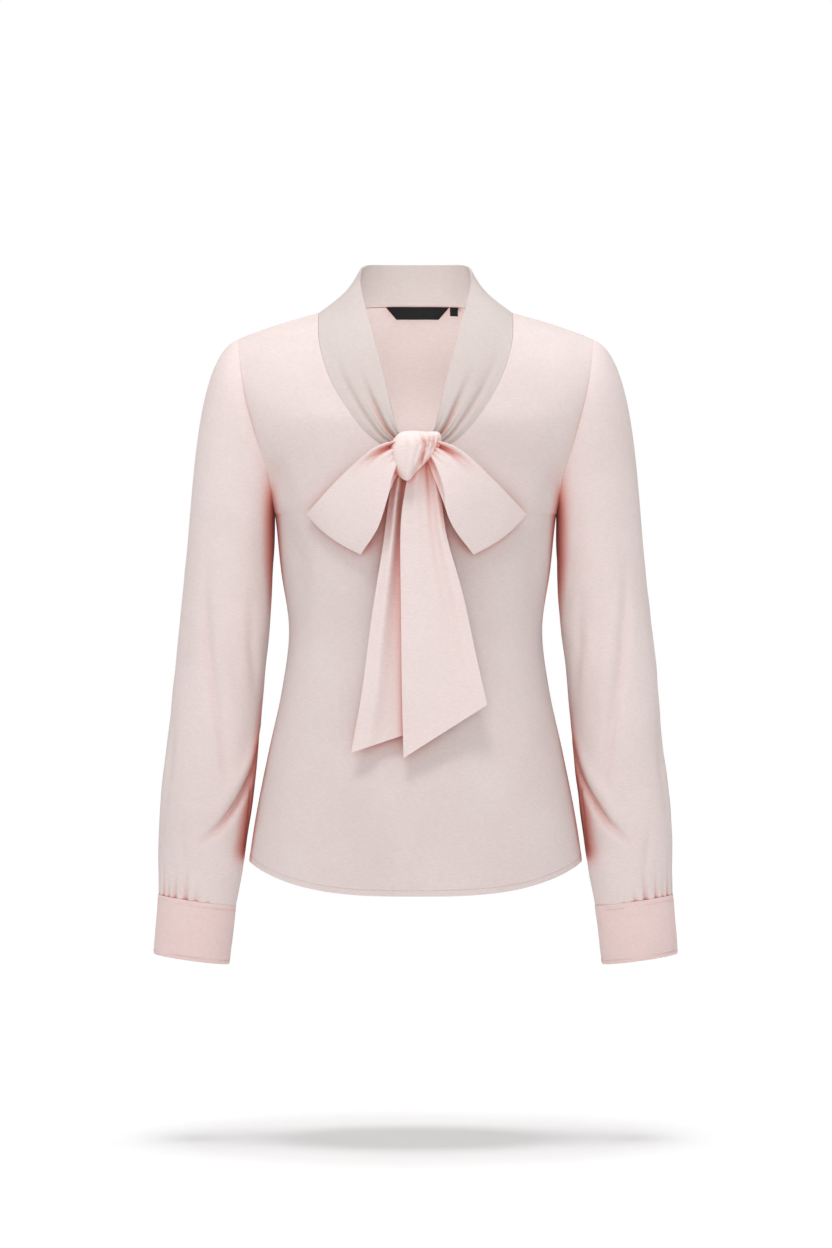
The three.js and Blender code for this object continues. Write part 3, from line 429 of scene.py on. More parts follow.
def along(points, t, closed=False):
    """Smooth curve through a few points, t from 0 to 1."""
    points = np.array(points, float)
    count = len(points) if closed else len(points) - 1
    t = np.clip(np.asarray(t, float), 0, 1) * count
    i = np.minimum(t.astype(int), count - 1)
    t = (t - i)[..., None]
    if closed:
        ring = [points[(i + k) % count] for k in (-1, 0, 1, 2)]
    else:
        padded = np.vstack([2 * points[0] - points[1], points, 2 * points[-1] - points[-2]])
        ring = [padded[i + k] for k in range(4)]
    before, start, end, after = ring
    gaps = [np.sqrt(np.linalg.norm(b - a, axis=-1, keepdims=True))
            for a, b in ((before, start), (start, end), (end, after))]
    out_slope = (start - before) / gaps[0] - (end - before) / (gaps[0] + gaps[1]) + (end - start) / gaps[1]
    in_slope = (end - start) / gaps[1] - (after - start) / (gaps[1] + gaps[2]) + (after - end) / gaps[2]
    return hermite(start, end, out_slope * gaps[1], in_slope * gaps[1], t)


def pressed(creases, u, v):
    """Depth pressed in at a place by a list of creases; each fades out towards its ends."""
    total = np.zeros(np.broadcast(u, v).shape)
    for crease in creases:
        best = np.zeros_like(total)
        legs = list(zip(crease["path"], crease["path"][1:]))
        for i, ((u0, v0), (u1, v1)) in enumerate(legs):
            length2 = (u1 - u0) ** 2 + (v1 - v0) ** 2
            t = np.clip(((u - u0) * (u1 - u0) + (v - v0) * (v1 - v0)) / length2, 0, 1)
            gap = np.hypot(u - mix(u0, u1, t), v - mix(v0, v1, t))
            fade = mix(CREASE_END_SHARE, 1, np.sin(np.pi * (i + t) / len(legs)))
            best = np.maximum(best, fade * np.exp(-((gap / crease["width"]) ** 2)))
        total += crease["depth"] * best
    return total


def ripple(u, v, size, seed):
    """Soft uneven relief from -1 to 1, with waves of about the given size."""
    rng = np.random.default_rng(seed)
    total = np.zeros(np.broadcast(u, v).shape)
    for _ in range(RIPPLE_WAVES):
        heading = rng.uniform(0, math.pi)
        length = size * rng.uniform(*RIPPLE_LENGTHS)
        phase = rng.uniform(0, 2 * math.pi)
        total += np.sin(2 * math.pi * (u * math.cos(heading) + v * math.sin(heading)) / length + phase)
    return total / math.sqrt(RIPPLE_WAVES) / RIPPLE_PEAK


# Sheets and shells

def grid_faces(rows, columns, closed=False):
    """Quads of a grid of points, row by row."""
    j, i = np.meshgrid(np.arange(rows - 1), np.arange(columns if closed else columns - 1), indexing="ij")
    right = (i + 1) % columns
    return np.stack([j * columns + i, j * columns + right, (j + 1) * columns + right,
                     (j + 1) * columns + i], axis=-1).reshape(-1, 4)


def joined(grids):
    """One sheet from several grids of points; points that fall together become one."""
    points, faces, start = [], [], 0
    for grid, closed, turned in grids:
        quads = grid_faces(grid.shape[0], grid.shape[1], closed)
        faces.append((quads[:, ::-1] if turned else quads) + start)
        points.append(grid.reshape(-1, 3))
        start += grid.shape[0] * grid.shape[1]
    points = np.vstack(points)
    _, first, same = np.unique(np.round(points, 3), axis=0, return_index=True, return_inverse=True)
    faces = same.reshape(-1)[np.vstack(faces)]
    return points[first], faces


def sheet_normals(points, faces):
    """Outward directions at the points, from the quads that meet there."""
    normals = np.zeros_like(points)
    across = points[faces[:, 2]] - points[faces[:, 0]]
    other = points[faces[:, 3]] - points[faces[:, 1]]
    face_normals = np.cross(across, other)
    for k in range(4):
        np.add.at(normals, faces[:, k], face_normals)
    return normals / np.maximum(np.linalg.norm(normals, axis=1, keepdims=True), 1e-9)


def free_edges(faces):
    """Edges with a face on one side only."""
    edges = set()
    for a, b, c, d in faces.tolist():
        edges.update(((a, b), (b, c), (c, d), (d, a)))
    return [(a, b) for a, b in edges if a != b and (b, a) not in edges]


def shell(name, grids, thickness, settle=None):
    """A closed thin shell: the sheet outside, its copy inside, and a rim round every free edge."""
    points, faces = joined(grids)
    inner = points - thickness * sheet_normals(points, faces)
    if settle:
        inner = settle(inner)
    count = len(points)
    quads = faces.tolist()
    quads += [[k + count for k in reversed(face)] for face in faces.tolist()]
    quads += [[b, a, a + count, b + count] for a, b in free_edges(faces)]
    return mesh_object(name, np.vstack([points, inner]), quads)


def mesh_object(name, points, faces):
    """A smooth piece from points in millimetres; corners of a face that fall together count once."""
    mesh = bpy.data.meshes.new(name)
    clean = []
    for face in faces:
        ring = [k for i, k in enumerate(face) if k != face[i - 1]]
        if len(ring) > 2:
            clean.append(ring)
    mesh.from_pydata((np.asarray(points) * MM).tolist(), [], clean)
    mesh.validate()
    mesh.shade_smooth()
    mesh.set_sharp_from_angle(angle=math.radians(SHARP_ANGLE))
    piece = bpy.data.objects.new(name, mesh)
    bpy.context.scene.collection.objects.link(piece)
    return piece


# Body panels

def shoulder_height(x):
    """Height of the shoulder line: a curve that runs down from the neck point to the armhole."""
    reach = np.hypot(x, NECK_ROUNDNESS) - math.hypot(NECK_HALF_WIDTH, NECK_ROUNDNESS)
    whole = math.hypot(SHOULDER_HALF_WIDTH, NECK_ROUNDNESS) - math.hypot(NECK_HALF_WIDTH, NECK_ROUNDNESS)
    return -SHOULDER_DROP * reach / whole


def rounding(panel, below):
    return (1 - (1 - np.clip(below / panel["reach"], 0, 1)) ** panel["power"]) ** (1 / panel["power"])


def armhole_height(angle):
    return ARMHOLE_MIDDLE + ARMHOLE_HALF_HEIGHT * np.cos(angle)


def armhole_depth(z):
    share = np.clip(np.abs(z - ARMHOLE_MIDDLE) / ARMHOLE_HALF_HEIGHT, 0, 1)
    return ARMHOLE_HALF_DEPTH * np.sqrt(1 - share * share)


def half_width(z):
    body = look_up(BODY_SECTIONS, "z", z, "half")
    return np.where(z < ARMHOLE_BOTTOM, body, look_up(ARMHOLE_LINE, "z", z, "x"))


def turn_at(z):
    """Angle round the section at which a panel ends: the side seam, or the armhole higher up."""
    return np.radians(90 - ARMHOLE_TURN * ease((z - ARMHOLE_BOTTOM) / ARMHOLE_TURN_HEIGHT))


def body_point(panel, angle, z):
    """Point of the body surface at an angle round a section, from the centre to the outer edge."""
    turn = turn_at(z)
    half = half_width(z)
    x = half * np.clip(np.sin(angle) / np.sin(turn), 0, 1) ** SECTION_SQUARENESS
    bulge = np.clip((np.cos(angle) - np.cos(turn)) / (1 - np.cos(turn)), 0, 1) ** SECTION_SQUARENESS
    held = np.clip(z, ARMHOLE_BOTTOM, ARMHOLE_TOP - SHOULDER_EDGE)
    edge_rounding = rounding(panel, shoulder_height(half_width(held)) - held)
    edge = np.where(z <= ARMHOLE_BOTTOM, 0, armhole_depth(held) / edge_rounding)
    full = look_up(BODY_SECTIONS, "z", z, panel["depth"])
    blend = mix(ARMHOLE_BLEND_POWER, 1, ease((z - ARMHOLE_BOTTOM) / ARMHOLE_BLEND_HEIGHT))
    y = rounding(panel, shoulder_height(x) - z) * (full * bulge + edge * (1 - bulge) ** blend)
    return np.stack(np.broadcast_arrays(x, panel["face"] * y, z), axis=-1)


def angle_at(x, z):
    share = np.clip(x / half_width(z), 0, 1) ** (1 / SECTION_SQUARENESS)
    return np.arcsin(np.clip(share * np.sin(turn_at(z)), 0, 1))


def body_depth(panel, x, z):
    return body_point(panel, angle_at(np.abs(x), z), z)[..., 1]


def row_points(panel, side, row, share):
    """Points of one row of a panel, from its centre line (share 0) to its outer edge (share 1)."""
    z = mix(row["inner_z"], row["outer_z"], row["sweep"](share))
    angle = mix(angle_at(np.float64(row["inner_x"]), np.float64(row["inner_z"])), turn_at(z), share)
    points = body_point(panel, angle, z)
    points[:, 0] *= side
    free = ease(np.abs(points[:, 1]) / SEAM_CALM_DEPTH)
    x, z = points[:, 0], points[:, 2]
    relief = pressed(panel["creases"], x, z) + row["relief"] * panel_relief(panel, x, z)
    points[:, 1] -= panel["face"] * free * relief
    points[:, 1] += panel["face"] * row["raise"]
    y = np.abs(points[:, 1])
    points[:, 1] = panel["face"] * np.maximum(y, SEAM_GAP / 2)
    return points


def panel_relief(panel, x, z):
    return sum(wave["height"] * ripple(x, z * wave["stretch"], wave["size"], panel["seed"] + i)
               for i, wave in enumerate(PANEL_RELIEF))


def lower_rows(top, count):
    """Rows from the hem to the underarm, the first few close together on the turned hem."""
    height = top - HEM_CENTRE
    start = HEM_ROWS[-1] / height
    shares = [t / height for t in HEM_ROWS] + [mix(start, 1, j / count) for j in range(1, count + 1)]
    return [lower_row(share, top, mix(HEM_CURVE, HEM_CURVE_ABOVE, share),
                      HEM_RAISE if share * height < HEM_TURNING else 0) for share in shares]


def lower_row(share, top, curve, raised):
    return {
        "inner_x": 0,
        "inner_z": mix(HEM_CENTRE, top, share),
        "outer_z": mix(HEM_SIDE, ARMHOLE_BOTTOM, share),
        "sweep": lambda s: np.sin(s * np.pi / 2) ** curve,
        "raise": raised,
        "relief": 1,
    }


def front_rows(lower=84, chest=16, neck=40):
    """Rows of the front, with the places in the list where the armhole and the neckline start."""
    underarm = FRONT["underarm"]
    rows = lower_rows(underarm, lower)
    start = len(rows) - 1
    knots = [(point["x"], point["z"]) for point in FRONT_NECKLINE]
    for j in range(1, chest + neck + 1):
        on_neck = (j - chest) / neck
        if on_neck <= 0:
            x, z = 0, mix(underarm, FRONT_NECKLINE[0]["z"], j / chest)
            rise = CHEST_SHARE * j / chest
        else:
            x, z = along(knots, on_neck)
            rise = mix(CHEST_SHARE, 1, on_neck)
        rows.append({
            "inner_x": x,
            "inner_z": z,
            "outer_z": armhole_height(math.pi * (1 - rise)),
            "sweep": lambda s: s,
            "raise": 0,
            "relief": 1 - FRONT["calm"] * rise,
        })
    return rows, start, start + chest


def neck_share():
    """Share of the back's width at which its top edge turns from the neck to the shoulder."""
    return float(angle_at(np.float64(NECK_HALF_WIDTH), np.float64(ARMHOLE_TOP)) / turn_at(ARMHOLE_TOP))


def back_top(share):
    neck = neck_share()
    on_neck = BACK_NECK_RISE * (1 - (share / neck) ** 2)
    return np.where(share <= neck, on_neck, -SHOULDER_DROP * (share - neck) / (1 - neck))


def back_rows(lower=84, upper=64):
    """Rows of the back, with the place in the list where the armhole starts."""
    underarm = BACK["underarm"]
    rows = lower_rows(underarm, lower)
    start = len(rows) - 1
    for j in range(1, upper + 1):
        share = j / upper
        rows.append({
            "inner_x": 0,
            "inner_z": mix(underarm, BACK_NECK_RISE, share ** BACK_ROW_CROWDING),
            "outer_z": armhole_height(math.pi * (1 - share)),
            "sweep": back_sweep(share),
            "raise": 0,
            "relief": 1 - BACK["calm"] * share,
        })
    return rows, start


def back_sweep(share):
    """How an upper row of the back falls to the armhole: higher up, more like the top edge."""
    whole = BACK_NECK_RISE + SHOULDER_DROP
    return lambda s: mix(s * s, (BACK_NECK_RISE - back_top(s)) / whole, share)


def column_shares(count=88):
    """Shares of the width, closer together at the outer edge."""
    shares = np.linspace(0, 1, count + 1)
    return np.concatenate([shares[:-1], EDGE_COLUMNS])


def panel_grids(panel, rows, shares):
    grids = []
    for side in (-1, 1):
        grid = np.stack([row_points(panel, side, row, shares) for row in rows])
        grids.append((grid, False, (side < 0) != (panel is BACK)))
    return grids


def make_panel(panel, rows, name):
    """A body panel; both of its faces stay on its own side of the side seam."""
    def settle(points):
        points[:, 1] = panel["face"] * np.maximum(panel["face"] * points[:, 1], SEAM_GAP / 2)
        return points

    return shell(name, panel_grids(panel, rows, column_shares()), CLOTH, settle)


def make_front():
    return make_panel(FRONT, front_rows()[0], "front_cloth")


def make_back():
    return make_panel(BACK, back_rows()[0], "back_cloth")


# Sleeves and cuffs

def armhole_edges():
    """Edges of the front and back round the armhole, from the underarm up."""
    rows, start, _ = front_rows()
    front = np.array([row_points(FRONT, 1, row, np.array([1.0]))[0] for row in rows[start:]])
    rows, start = back_rows()
    back = np.array([row_points(BACK, 1, row, np.array([1.0]))[0] for row in rows[start:]])
    return front, back


def on_edge(points, t):
    place = np.clip(t, 0, 1) * (len(points) - 1)
    k = np.minimum(place.astype(int), len(points) - 2)
    return mix(points[k], points[k + 1], (place - k)[..., None])


def section_points(sections, angle, z, pressed_in=0):
    """Points of a tilted oval section, at angles from its outside over the front."""
    half = look_up(sections, "z", z, "half")
    depth = look_up(sections, "z", z, "depth")
    tilt = np.radians(look_up(sections, "z", z, "tilt"))
    out = (half - pressed_in) * np.cos(angle)
    x = look_up(sections, "z", z, "centre") + out * np.cos(tilt)
    y = -(depth - pressed_in) * np.sin(angle)
    return np.stack(np.broadcast_arrays(x, y, z + out * np.sin(tilt)), -1)


def sleeve_pressed(angle, z, seed):
    """Depth pressed into the sleeve: its creases, the gathers above the cuff and a soft relief."""
    turn = np.degrees(angle) % 360
    scaled = [{**c, "path": [(u * DEGREE_ROUND_SLEEVE, v) for u, v in c["path"]]} for c in SLEEVE_CREASES]
    total = pressed(scaled, turn * DEGREE_ROUND_SLEEVE, z)
    seam = SLEEVE_SECTIONS[-1]["z"]
    for gather in CUFF_GATHERS:
        apart = np.abs((turn - gather["angle"] + 540) % 360 - 180) * DEGREE_ROUND_SLEEVE
        near = np.exp(-((apart / GATHER_WIDTH) ** 2))
        total += gather["depth"] * near * ease(1 - (z - seam) / gather["length"])
    out, deep = SLEEVE_RADIUS * np.cos(angle), SLEEVE_RADIUS * np.sin(angle)
    relief = sum(wave["height"] * ripple(out + wave["slant_out"] * z, deep + wave["slant_deep"] * z,
                                         wave["size"], seed + i)
                 for i, wave in enumerate(SLEEVE_RELIEF))
    below_head = ease((SLEEVE_RELIEF_TOP["z"] - z) / SLEEVE_RELIEF_TOP["fade"])
    return total + relief * below_head * ease((z - seam) / SLEEVE_RELIEF_SEAM_FADE)


def armhole_ring(angle):
    """Start of the sleeve: the armhole edge, drawn in a little so that the sleeve tucks under the seam."""
    front, back = armhole_edges()
    on_front = on_edge(front, 1 - angle / np.pi)
    on_back = on_edge(back, angle / np.pi - 1)
    ring = np.where((angle <= np.pi)[:, None], on_front, on_back)
    outwards = ring - (0, 0, ARMHOLE_MIDDLE)
    outwards[:, 0] = 0
    return ring - SEAM_DIP * outwards / np.linalg.norm(outwards, axis=1, keepdims=True)


def sleeve_ring(angle, z, seed):
    heights = np.full(len(angle), float(z))
    return section_points(SLEEVE_SECTIONS, angle, heights, sleeve_pressed(angle, heights, seed))


def make_sleeve(side, name, around=192, head_rows=56, rows=230):
    """A sleeve: its head bends from the armhole into the arm, which runs down to the cuff."""
    angle = np.linspace(0, 2 * np.pi, around, endpoint=False)
    seed = SLEEVE_SEED + side
    first, last = SLEEVE_SECTIONS[0]["z"], SLEEVE_SECTIONS[-1]["z"]
    start, end = armhole_ring(angle), sleeve_ring(angle, first, seed)
    upper = (1 + np.cos(angle)) / 2
    leave = np.stack([SLEEVE_HEAD["out"] * upper, 0 * upper,
                      -mix(SLEEVE_HEAD["underarm"], SLEEVE_HEAD["down"], upper)], -1)
    reach = np.linalg.norm(end - start, axis=1)
    arrive = np.stack([SLEEVE_HEAD["end"] * reach, 0 * reach, -reach], -1)
    grid = [hermite(start, end, leave, arrive, j / head_rows) for j in range(head_rows)]
    grid += [sleeve_ring(angle, z, seed) for z in np.linspace(first, last, rows + 1)]
    grid = np.stack(grid)
    grid[..., 0] *= side
    return shell(name, [(grid, True, side < 0)], CLOTH)


def make_cuff(side, name, around=160):
    """A doubled cuff: its edges are rounded, and the turnings lie as a faint ridge along both edges."""
    angle = np.linspace(0, 2 * np.pi, around, endpoint=False)
    top, bottom = CUFF_SECTIONS[0]["z"], CUFF_SECTIONS[-1]["z"]
    out, deep = CUFF_RELIEF["out"] * np.cos(angle), CUFF_RELIEF["deep"] * np.sin(angle)
    grid = []
    for step in CUFF_STEPS:
        heights = np.full(around, top + (bottom - top) * step / CUFF_STEPS[-1])
        soft = ripple(out + step, deep, CUFF_RELIEF["size"], CUFF_RELIEF["seed"] + side)
        pressed_in = CUFF_DIPS.get(step, 0) + CUFF_RELIEF["height"] * soft
        grid.append(section_points(CUFF_SECTIONS, angle, heights, pressed_in))
    grid = np.stack(grid)
    grid[..., 0] *= side
    return shell(name, [(grid, True, side < 0)], CUFF_CLOTH)


# Collar

def neckline_edges():
    """Lines a gap past the neckline edges: centre back to neck point, then on to the bottom of the V."""
    rows, _ = back_rows()
    shares = np.linspace(0, 1, NECK_EDGE_POINTS) * neck_share()
    edge, inside = (row_points(BACK, 1, rows[-k], shares) for k in (1, NECK_INSIDE_ROWS))
    back = past_edge(edge, inside)
    rows, _, start = front_rows()
    shares = np.array([0, NECK_INSIDE_SHARE])
    lines = np.array([row_points(FRONT, 1, row, shares) for row in rows[start:][::-1]])
    front = past_edge(lines[:, 0], lines[:, 1])
    front[0] += (-SEAM_GAP, -SEAM_GAP, SEAM_GAP)
    back[-1] = front[0]
    return back, front


def past_edge(edge, inside):
    """The edge moved on by one seam gap, away from points that lie inside it."""
    away = edge - inside
    return edge + SEAM_GAP * away / np.linalg.norm(away, axis=1, keepdims=True)


def collar_seam(share):
    """The collar's lower edge: along the neckline, then lifted off the front towards the knot."""
    back, front = neckline_edges()
    down = (share - COLLAR_BACK_SHARE) / (1 - COLLAR_BACK_SHARE)
    on_front = on_edge(front, np.minimum(down, COLLAR_END))
    on_front[:, 1] -= COLLAR_END_LIFT * ease((down - COLLAR_LIFT_START) / (1 - COLLAR_LIFT_START))
    on_back = on_edge(back, share / COLLAR_BACK_SHARE)
    return np.where((share <= COLLAR_BACK_SHARE)[:, None], on_back, on_front)


def collar_grid(side, columns=150, rows=40):
    """Half of the collar, from the neckline seam up to its fold and from the centre back to the knot."""
    share = np.linspace(0, 1, columns + 1)
    seam = collar_seam(share)
    fold = np.stack([look_up(COLLAR_FOLD, "share", share, axis) for axis in "xyz"], -1)
    to_front = ease((share - COLLAR_TURN["start"]) / COLLAR_TURN["length"])
    outward = np.stack([0 * share + COLLAR_OUTWARD["x"], COLLAR_OUTWARD["y_front"] * to_front,
                        mix(COLLAR_OUTWARD["z_back"], COLLAR_OUTWARD["z_front"], to_front)], -1)
    outward /= np.linalg.norm(outward, axis=1, keepdims=True)
    fade = 1 - ease((share - COLLAR_CALM["start"]) / COLLAR_CALM["length"])
    hollow = -COLLAR_HOLLOW * ease(share / COLLAR_HOLLOW_LENGTH)
    roll = mix(hollow, COLLAR_ROLL, to_front) * fade
    grid = []
    for j in range(rows + 1):
        up = j / rows
        arch = math.sin(math.pi * up)
        points = mix(seam, fold, up) + outward * (roll * arch)[:, None]
        for line in COLLAR_FOLDS:
            near = math.exp(-(((up - line["share"]) / line["width"]) ** 2))
            begun = ease((share - line["start"]) / COLLAR_FOLD_LENGTH)
            points[:, 1] += line["depth"] * near * arch * begun
        points[:, 0] *= side
        grid.append(points)
    return np.stack(grid)


def make_collar():
    return shell("collar_cloth", [(collar_grid(side), False, side > 0) for side in (-1, 1)], COLLAR_CLOTH)


# Bow

def make_knot(around=96, layers=48):
    """The knot: rings of its outline that close at its front and back, with creases across the front."""
    turns = np.linspace(0, 1, around, endpoint=False)
    outline = along([(p["x"], 0, p["z"]) for p in KNOT_OUTLINE], turns, closed=True)
    grid = []
    for j in range(layers + 1):
        layer = math.pi * (j / layers - 0.5)
        out = max(math.cos(layer), 0) ** KNOT_SQUARENESS
        deep = KNOT_FRONT if layer < 0 else KNOT_BACK
        ring = outline * out
        wrap = pressed(KNOT_CREASES, ring[:, 0], ring[:, 2]) if layer < 0 else 0
        ring[:, 1] = deep * math.sin(layer) + wrap
        grid.append(ring + (KNOT_CENTRE["x"], KNOT_CENTRE["y"], KNOT_CENTRE["z"]))
    points, faces = joined([(np.stack(grid), True, False)])
    return mesh_object("knot_cloth", points, faces.tolist())


def make_loop(loop, name, lengths=170, widths=90):
    """A loop of the bow: out along the front layer, round the fold and back behind it."""
    around = np.linspace(0, 1, lengths + 1)
    angle = mix(LOOP_START_ANGLE, 2 * np.pi - LOOP_START_ANGLE, around)
    start = math.sin(LOOP_START_ANGLE / 2)
    out = (np.sin(angle / 2) - start) / (1 - start)
    upper, lower = along(loop["upper"], out), along(loop["lower"], out)
    heading = np.add(loop["upper"][-1], loop["lower"][-1]) - (0, 2 * KNOT_CENTRE["z"])
    heading = heading / np.linalg.norm(heading)
    behind = ease((around - LOOP_TURN["start"]) / LOOP_TURN["length"])
    layer_share = mix(1, LOOP_BACK_PLEATS, behind)
    puff = np.where(np.sin(angle) > 0, LOOP_FRONT_PUFF, LOOP_BACK_PUFF)
    grid = []
    for j in range(widths + 1):
        across = j / widths
        place = mix(lower, upper, across)
        place = place + heading * (LOOP_END_BOW * math.sin(math.pi * across) * out * out)[:, None]
        place[:, 0] += loop["slip"] * behind * out * (1 - across)
        pleat = loop_valleys(loop, across, out) + loop_tuck(loop["tuck"], across, out)
        rest = body_depth(FRONT, place[:, 0], place[:, 1]) - LOOP_REST
        y = mix(LOOP_DEPTH, rest, ease(out) ** LOOP_FALL) - puff * np.sin(angle) + pleat * layer_share
        grid.append(np.stack([place[:, 0], y, place[:, 1]], -1))
    return shell(name, [(np.stack(grid), False, loop["upper"][-1][0] < 0)], TIE_CLOTH)


def loop_valleys(loop, across, out):
    """Gathers that leave the knot, and spread and fade on their way out."""
    return sum(v["depth"] * np.exp(-((across - v["across"]) / (v["width"] * (1 + VALLEY_SPREAD * out))) ** 2)
               * ease(1 - out / v["reach"]) for v in loop["valleys"])


def loop_tuck(tuck, across, out):
    """The lower corner beside the knot, folded back behind the rest."""
    edge = tuck["across"] * (1 - out / tuck["reach"])
    return tuck["depth"] * ease((edge - across) / TUCK_EDGE) * ease(2 - 2 * out / tuck["reach"])


def make_tail(tail, name, lengths=170, widths=80):
    """A tail of the bow hangs plumb, or lies on the front where that stands out further."""
    down = np.linspace(0, 1, lengths + 1)
    left, right = along(tail["left"], down), along(tail["right"], down)
    across = np.linspace(0, 1, widths + 1)
    folds = sum(f["depth"] * np.exp(-((across - f["across"]) / f["width"]) ** 2) for f in tail["folds"])
    grid = []
    for t, a, b in zip(down, left, right):
        place = mix(a, b, across[:, None])
        lift = TAIL_TOP_LIFT * ease(1 - (tail["left"][0][1] - place[:, 1]) / TAIL_LIFT_LENGTH)
        lift = lift + TAIL_END_LIFT * ease((t - TAIL_END_START) / (1 - TAIL_END_START))
        depth = np.minimum(body_depth(FRONT, place[:, 0], place[:, 1]), -TAIL_PLUMB)
        y = depth - tail["clear"] - lift + folds * mix(TAIL_FOLD_TOP, TAIL_FOLD_END, t)
        grid.append(np.stack([place[:, 0], y, place[:, 1]], -1))
    return shell(name, [(np.stack(grid), False, True)], TIE_CLOTH)


# Labels

def make_label(tab, name, columns=24, rows=8):
    """A bare ribbon that hangs inside the back neck, from the seam of the collar."""
    back, _ = neckline_edges()
    grid = []
    for j in range(rows + 1):
        half = mix(tab["top"], tab["bottom"], j / rows)
        x = tab["centre"] + np.linspace(-half, half, columns + 1)
        hold = np.stack([x, np.interp(np.abs(x), back[:, 0], back[:, 1]),
                         np.interp(np.abs(x), back[:, 0], back[:, 2])], -1)
        grid.append(hold + (0, -COLLAR_CLOTH - LABEL_CLEAR, -LABEL_DROP - tab["height"] * j / rows))
    return shell(name, [(np.stack(grid), False, False)], LABEL_CLOTH)


# Stitching

def make_stitches(name, lines):
    """Short raised threads along lines of points, each line with the outward direction at its points."""
    points, faces = [], []
    for line, outward in lines:
        run = np.concatenate([[0], np.cumsum(np.linalg.norm(np.diff(line, axis=0), axis=1))])
        for place in np.arange(STITCH_STEP / 2, run[-1] - STITCH_LENGTH, STITCH_STEP):
            ends = [np.array([np.interp(place + part, run, line[:, k]) for k in range(3)])
                    for part in (0, STITCH_LENGTH)]
            up = np.array([np.interp(place, run, outward[:, k]) for k in range(3)])
            wide = np.cross(ends[1] - ends[0], up)
            wide *= STITCH_HALF_WIDTH / np.linalg.norm(wide)
            top = (ends[0] + ends[1]) / 2 + up * STITCH_HEIGHT
            start = len(points)
            points += [ends[0] - wide / 2, ends[0] + wide / 2, top + wide, ends[1] + wide / 2,
                       ends[1] - wide / 2, top - wide]
            faces += [[start + k for k in ring] for ring in ((0, 1, 2, 5), (5, 2, 3, 4), (4, 3, 2, 1, 0, 5))]
    return mesh_object(name, np.array(points), faces)


def hem_stitches(panel, name):
    share = HEM_STITCH_LINE / (ARMHOLE_BOTTOM - HEM_CENTRE)
    row = lower_row(share, ARMHOLE_BOTTOM, HEM_CURVE, HEM_RAISE)
    lines = []
    for side in (-1, 1):
        line = row_points(panel, side, row, np.linspace(0, 1, STITCH_PATH_POINTS))
        outward = line * (1, 1, 0)
        lines.append((line, outward / np.linalg.norm(outward, axis=1, keepdims=True)))
    return make_stitches(name, lines)


def cuff_stitches(side, name):
    angle = np.linspace(0, 2 * np.pi, STITCH_PATH_POINTS)
    top = CUFF_SECTIONS[0]["z"]
    lines = []
    for drop in CUFF_STITCH_LINES:
        line = section_points(CUFF_SECTIONS, angle, np.full(len(angle), top - drop))
        outward = np.stack([np.cos(angle), -np.sin(angle), 0 * angle], -1)
        line[:, 0] *= side
        outward[:, 0] *= side
        lines.append((line, outward))
    return make_stitches(name, lines)


# Materials

def srgb(code):
    channels = [((code >> shift) & 255) / 255 for shift in (16, 8, 0)]
    return [c / 12.92 if c <= 0.04045 else ((c + 0.055) / 1.055) ** 2.4 for c in channels] + [1]


def new_material(name):
    material = bpy.data.materials.new(name)
    material.use_nodes = True
    nodes = material.node_tree.nodes
    return material, nodes, material.node_tree.links, nodes["Principled BSDF"]


def set_inputs(node, values):
    for socket, value in values.items():
        node.inputs[socket].default_value = value
    return node


def noise(nodes, links, place, scale, detail=3, rough=0.55):
    values = {"Scale": scale, "Detail": detail, "Roughness": rough}
    node = set_inputs(nodes.new("ShaderNodeTexNoise"), values)
    links.new(place, node.inputs["Vector"])
    return node.outputs["Fac"]


def ramp(nodes, links, source, low, high, low_at=0.3, high_at=0.7, middle=None, middle_at=0.5):
    node = nodes.new("ShaderNodeValToRGB")
    node.color_ramp.elements[0].position = low_at
    node.color_ramp.elements[0].color = low
    node.color_ramp.elements[1].position = high_at
    node.color_ramp.elements[1].color = high
    if middle:
        node.color_ramp.elements.new(middle_at).color = middle
    links.new(source, node.inputs["Fac"])
    return node.outputs["Color"]


def multiplied(nodes, links, colour, other, share=1):
    node = nodes.new("ShaderNodeMix")
    node.data_type = "RGBA"
    node.blend_type = "MULTIPLY"
    node.inputs["Factor"].default_value = share
    links.new(colour, node.inputs[6])
    links.new(other, node.inputs[7])
    return node.outputs[2]


def bump(nodes, links, height, relief):
    values = {"Strength": relief["strength"], "Distance": relief["height"]}
    node = set_inputs(nodes.new("ShaderNodeBump"), values)
    links.new(height, node.inputs["Height"])
    return node


def painted_fold_shade(nodes, links, colour):
    """Painted shade and warm bounced light: the colour turns darker and pinker where other cloth lies close,
    in folds, seams and under the bow.
    """
    near = set_inputs(nodes.new("ShaderNodeAmbientOcclusion"), {"Distance": PAINTED_SHADE_REACH * MM})
    near.samples = PAINTED_SHADE_SAMPLES
    depth = ramp(nodes, links, near.outputs["AO"], srgb(PAINTED_DEEP_SHADE_PINK), WHITE, PAINTED_SHADE_STOPS["deep"],
                 PAINTED_SHADE_STOPS["clear"], srgb(PAINTED_SHADE_PINK), PAINTED_SHADE_STOPS["pink"])
    return multiplied(nodes, links, colour, depth)


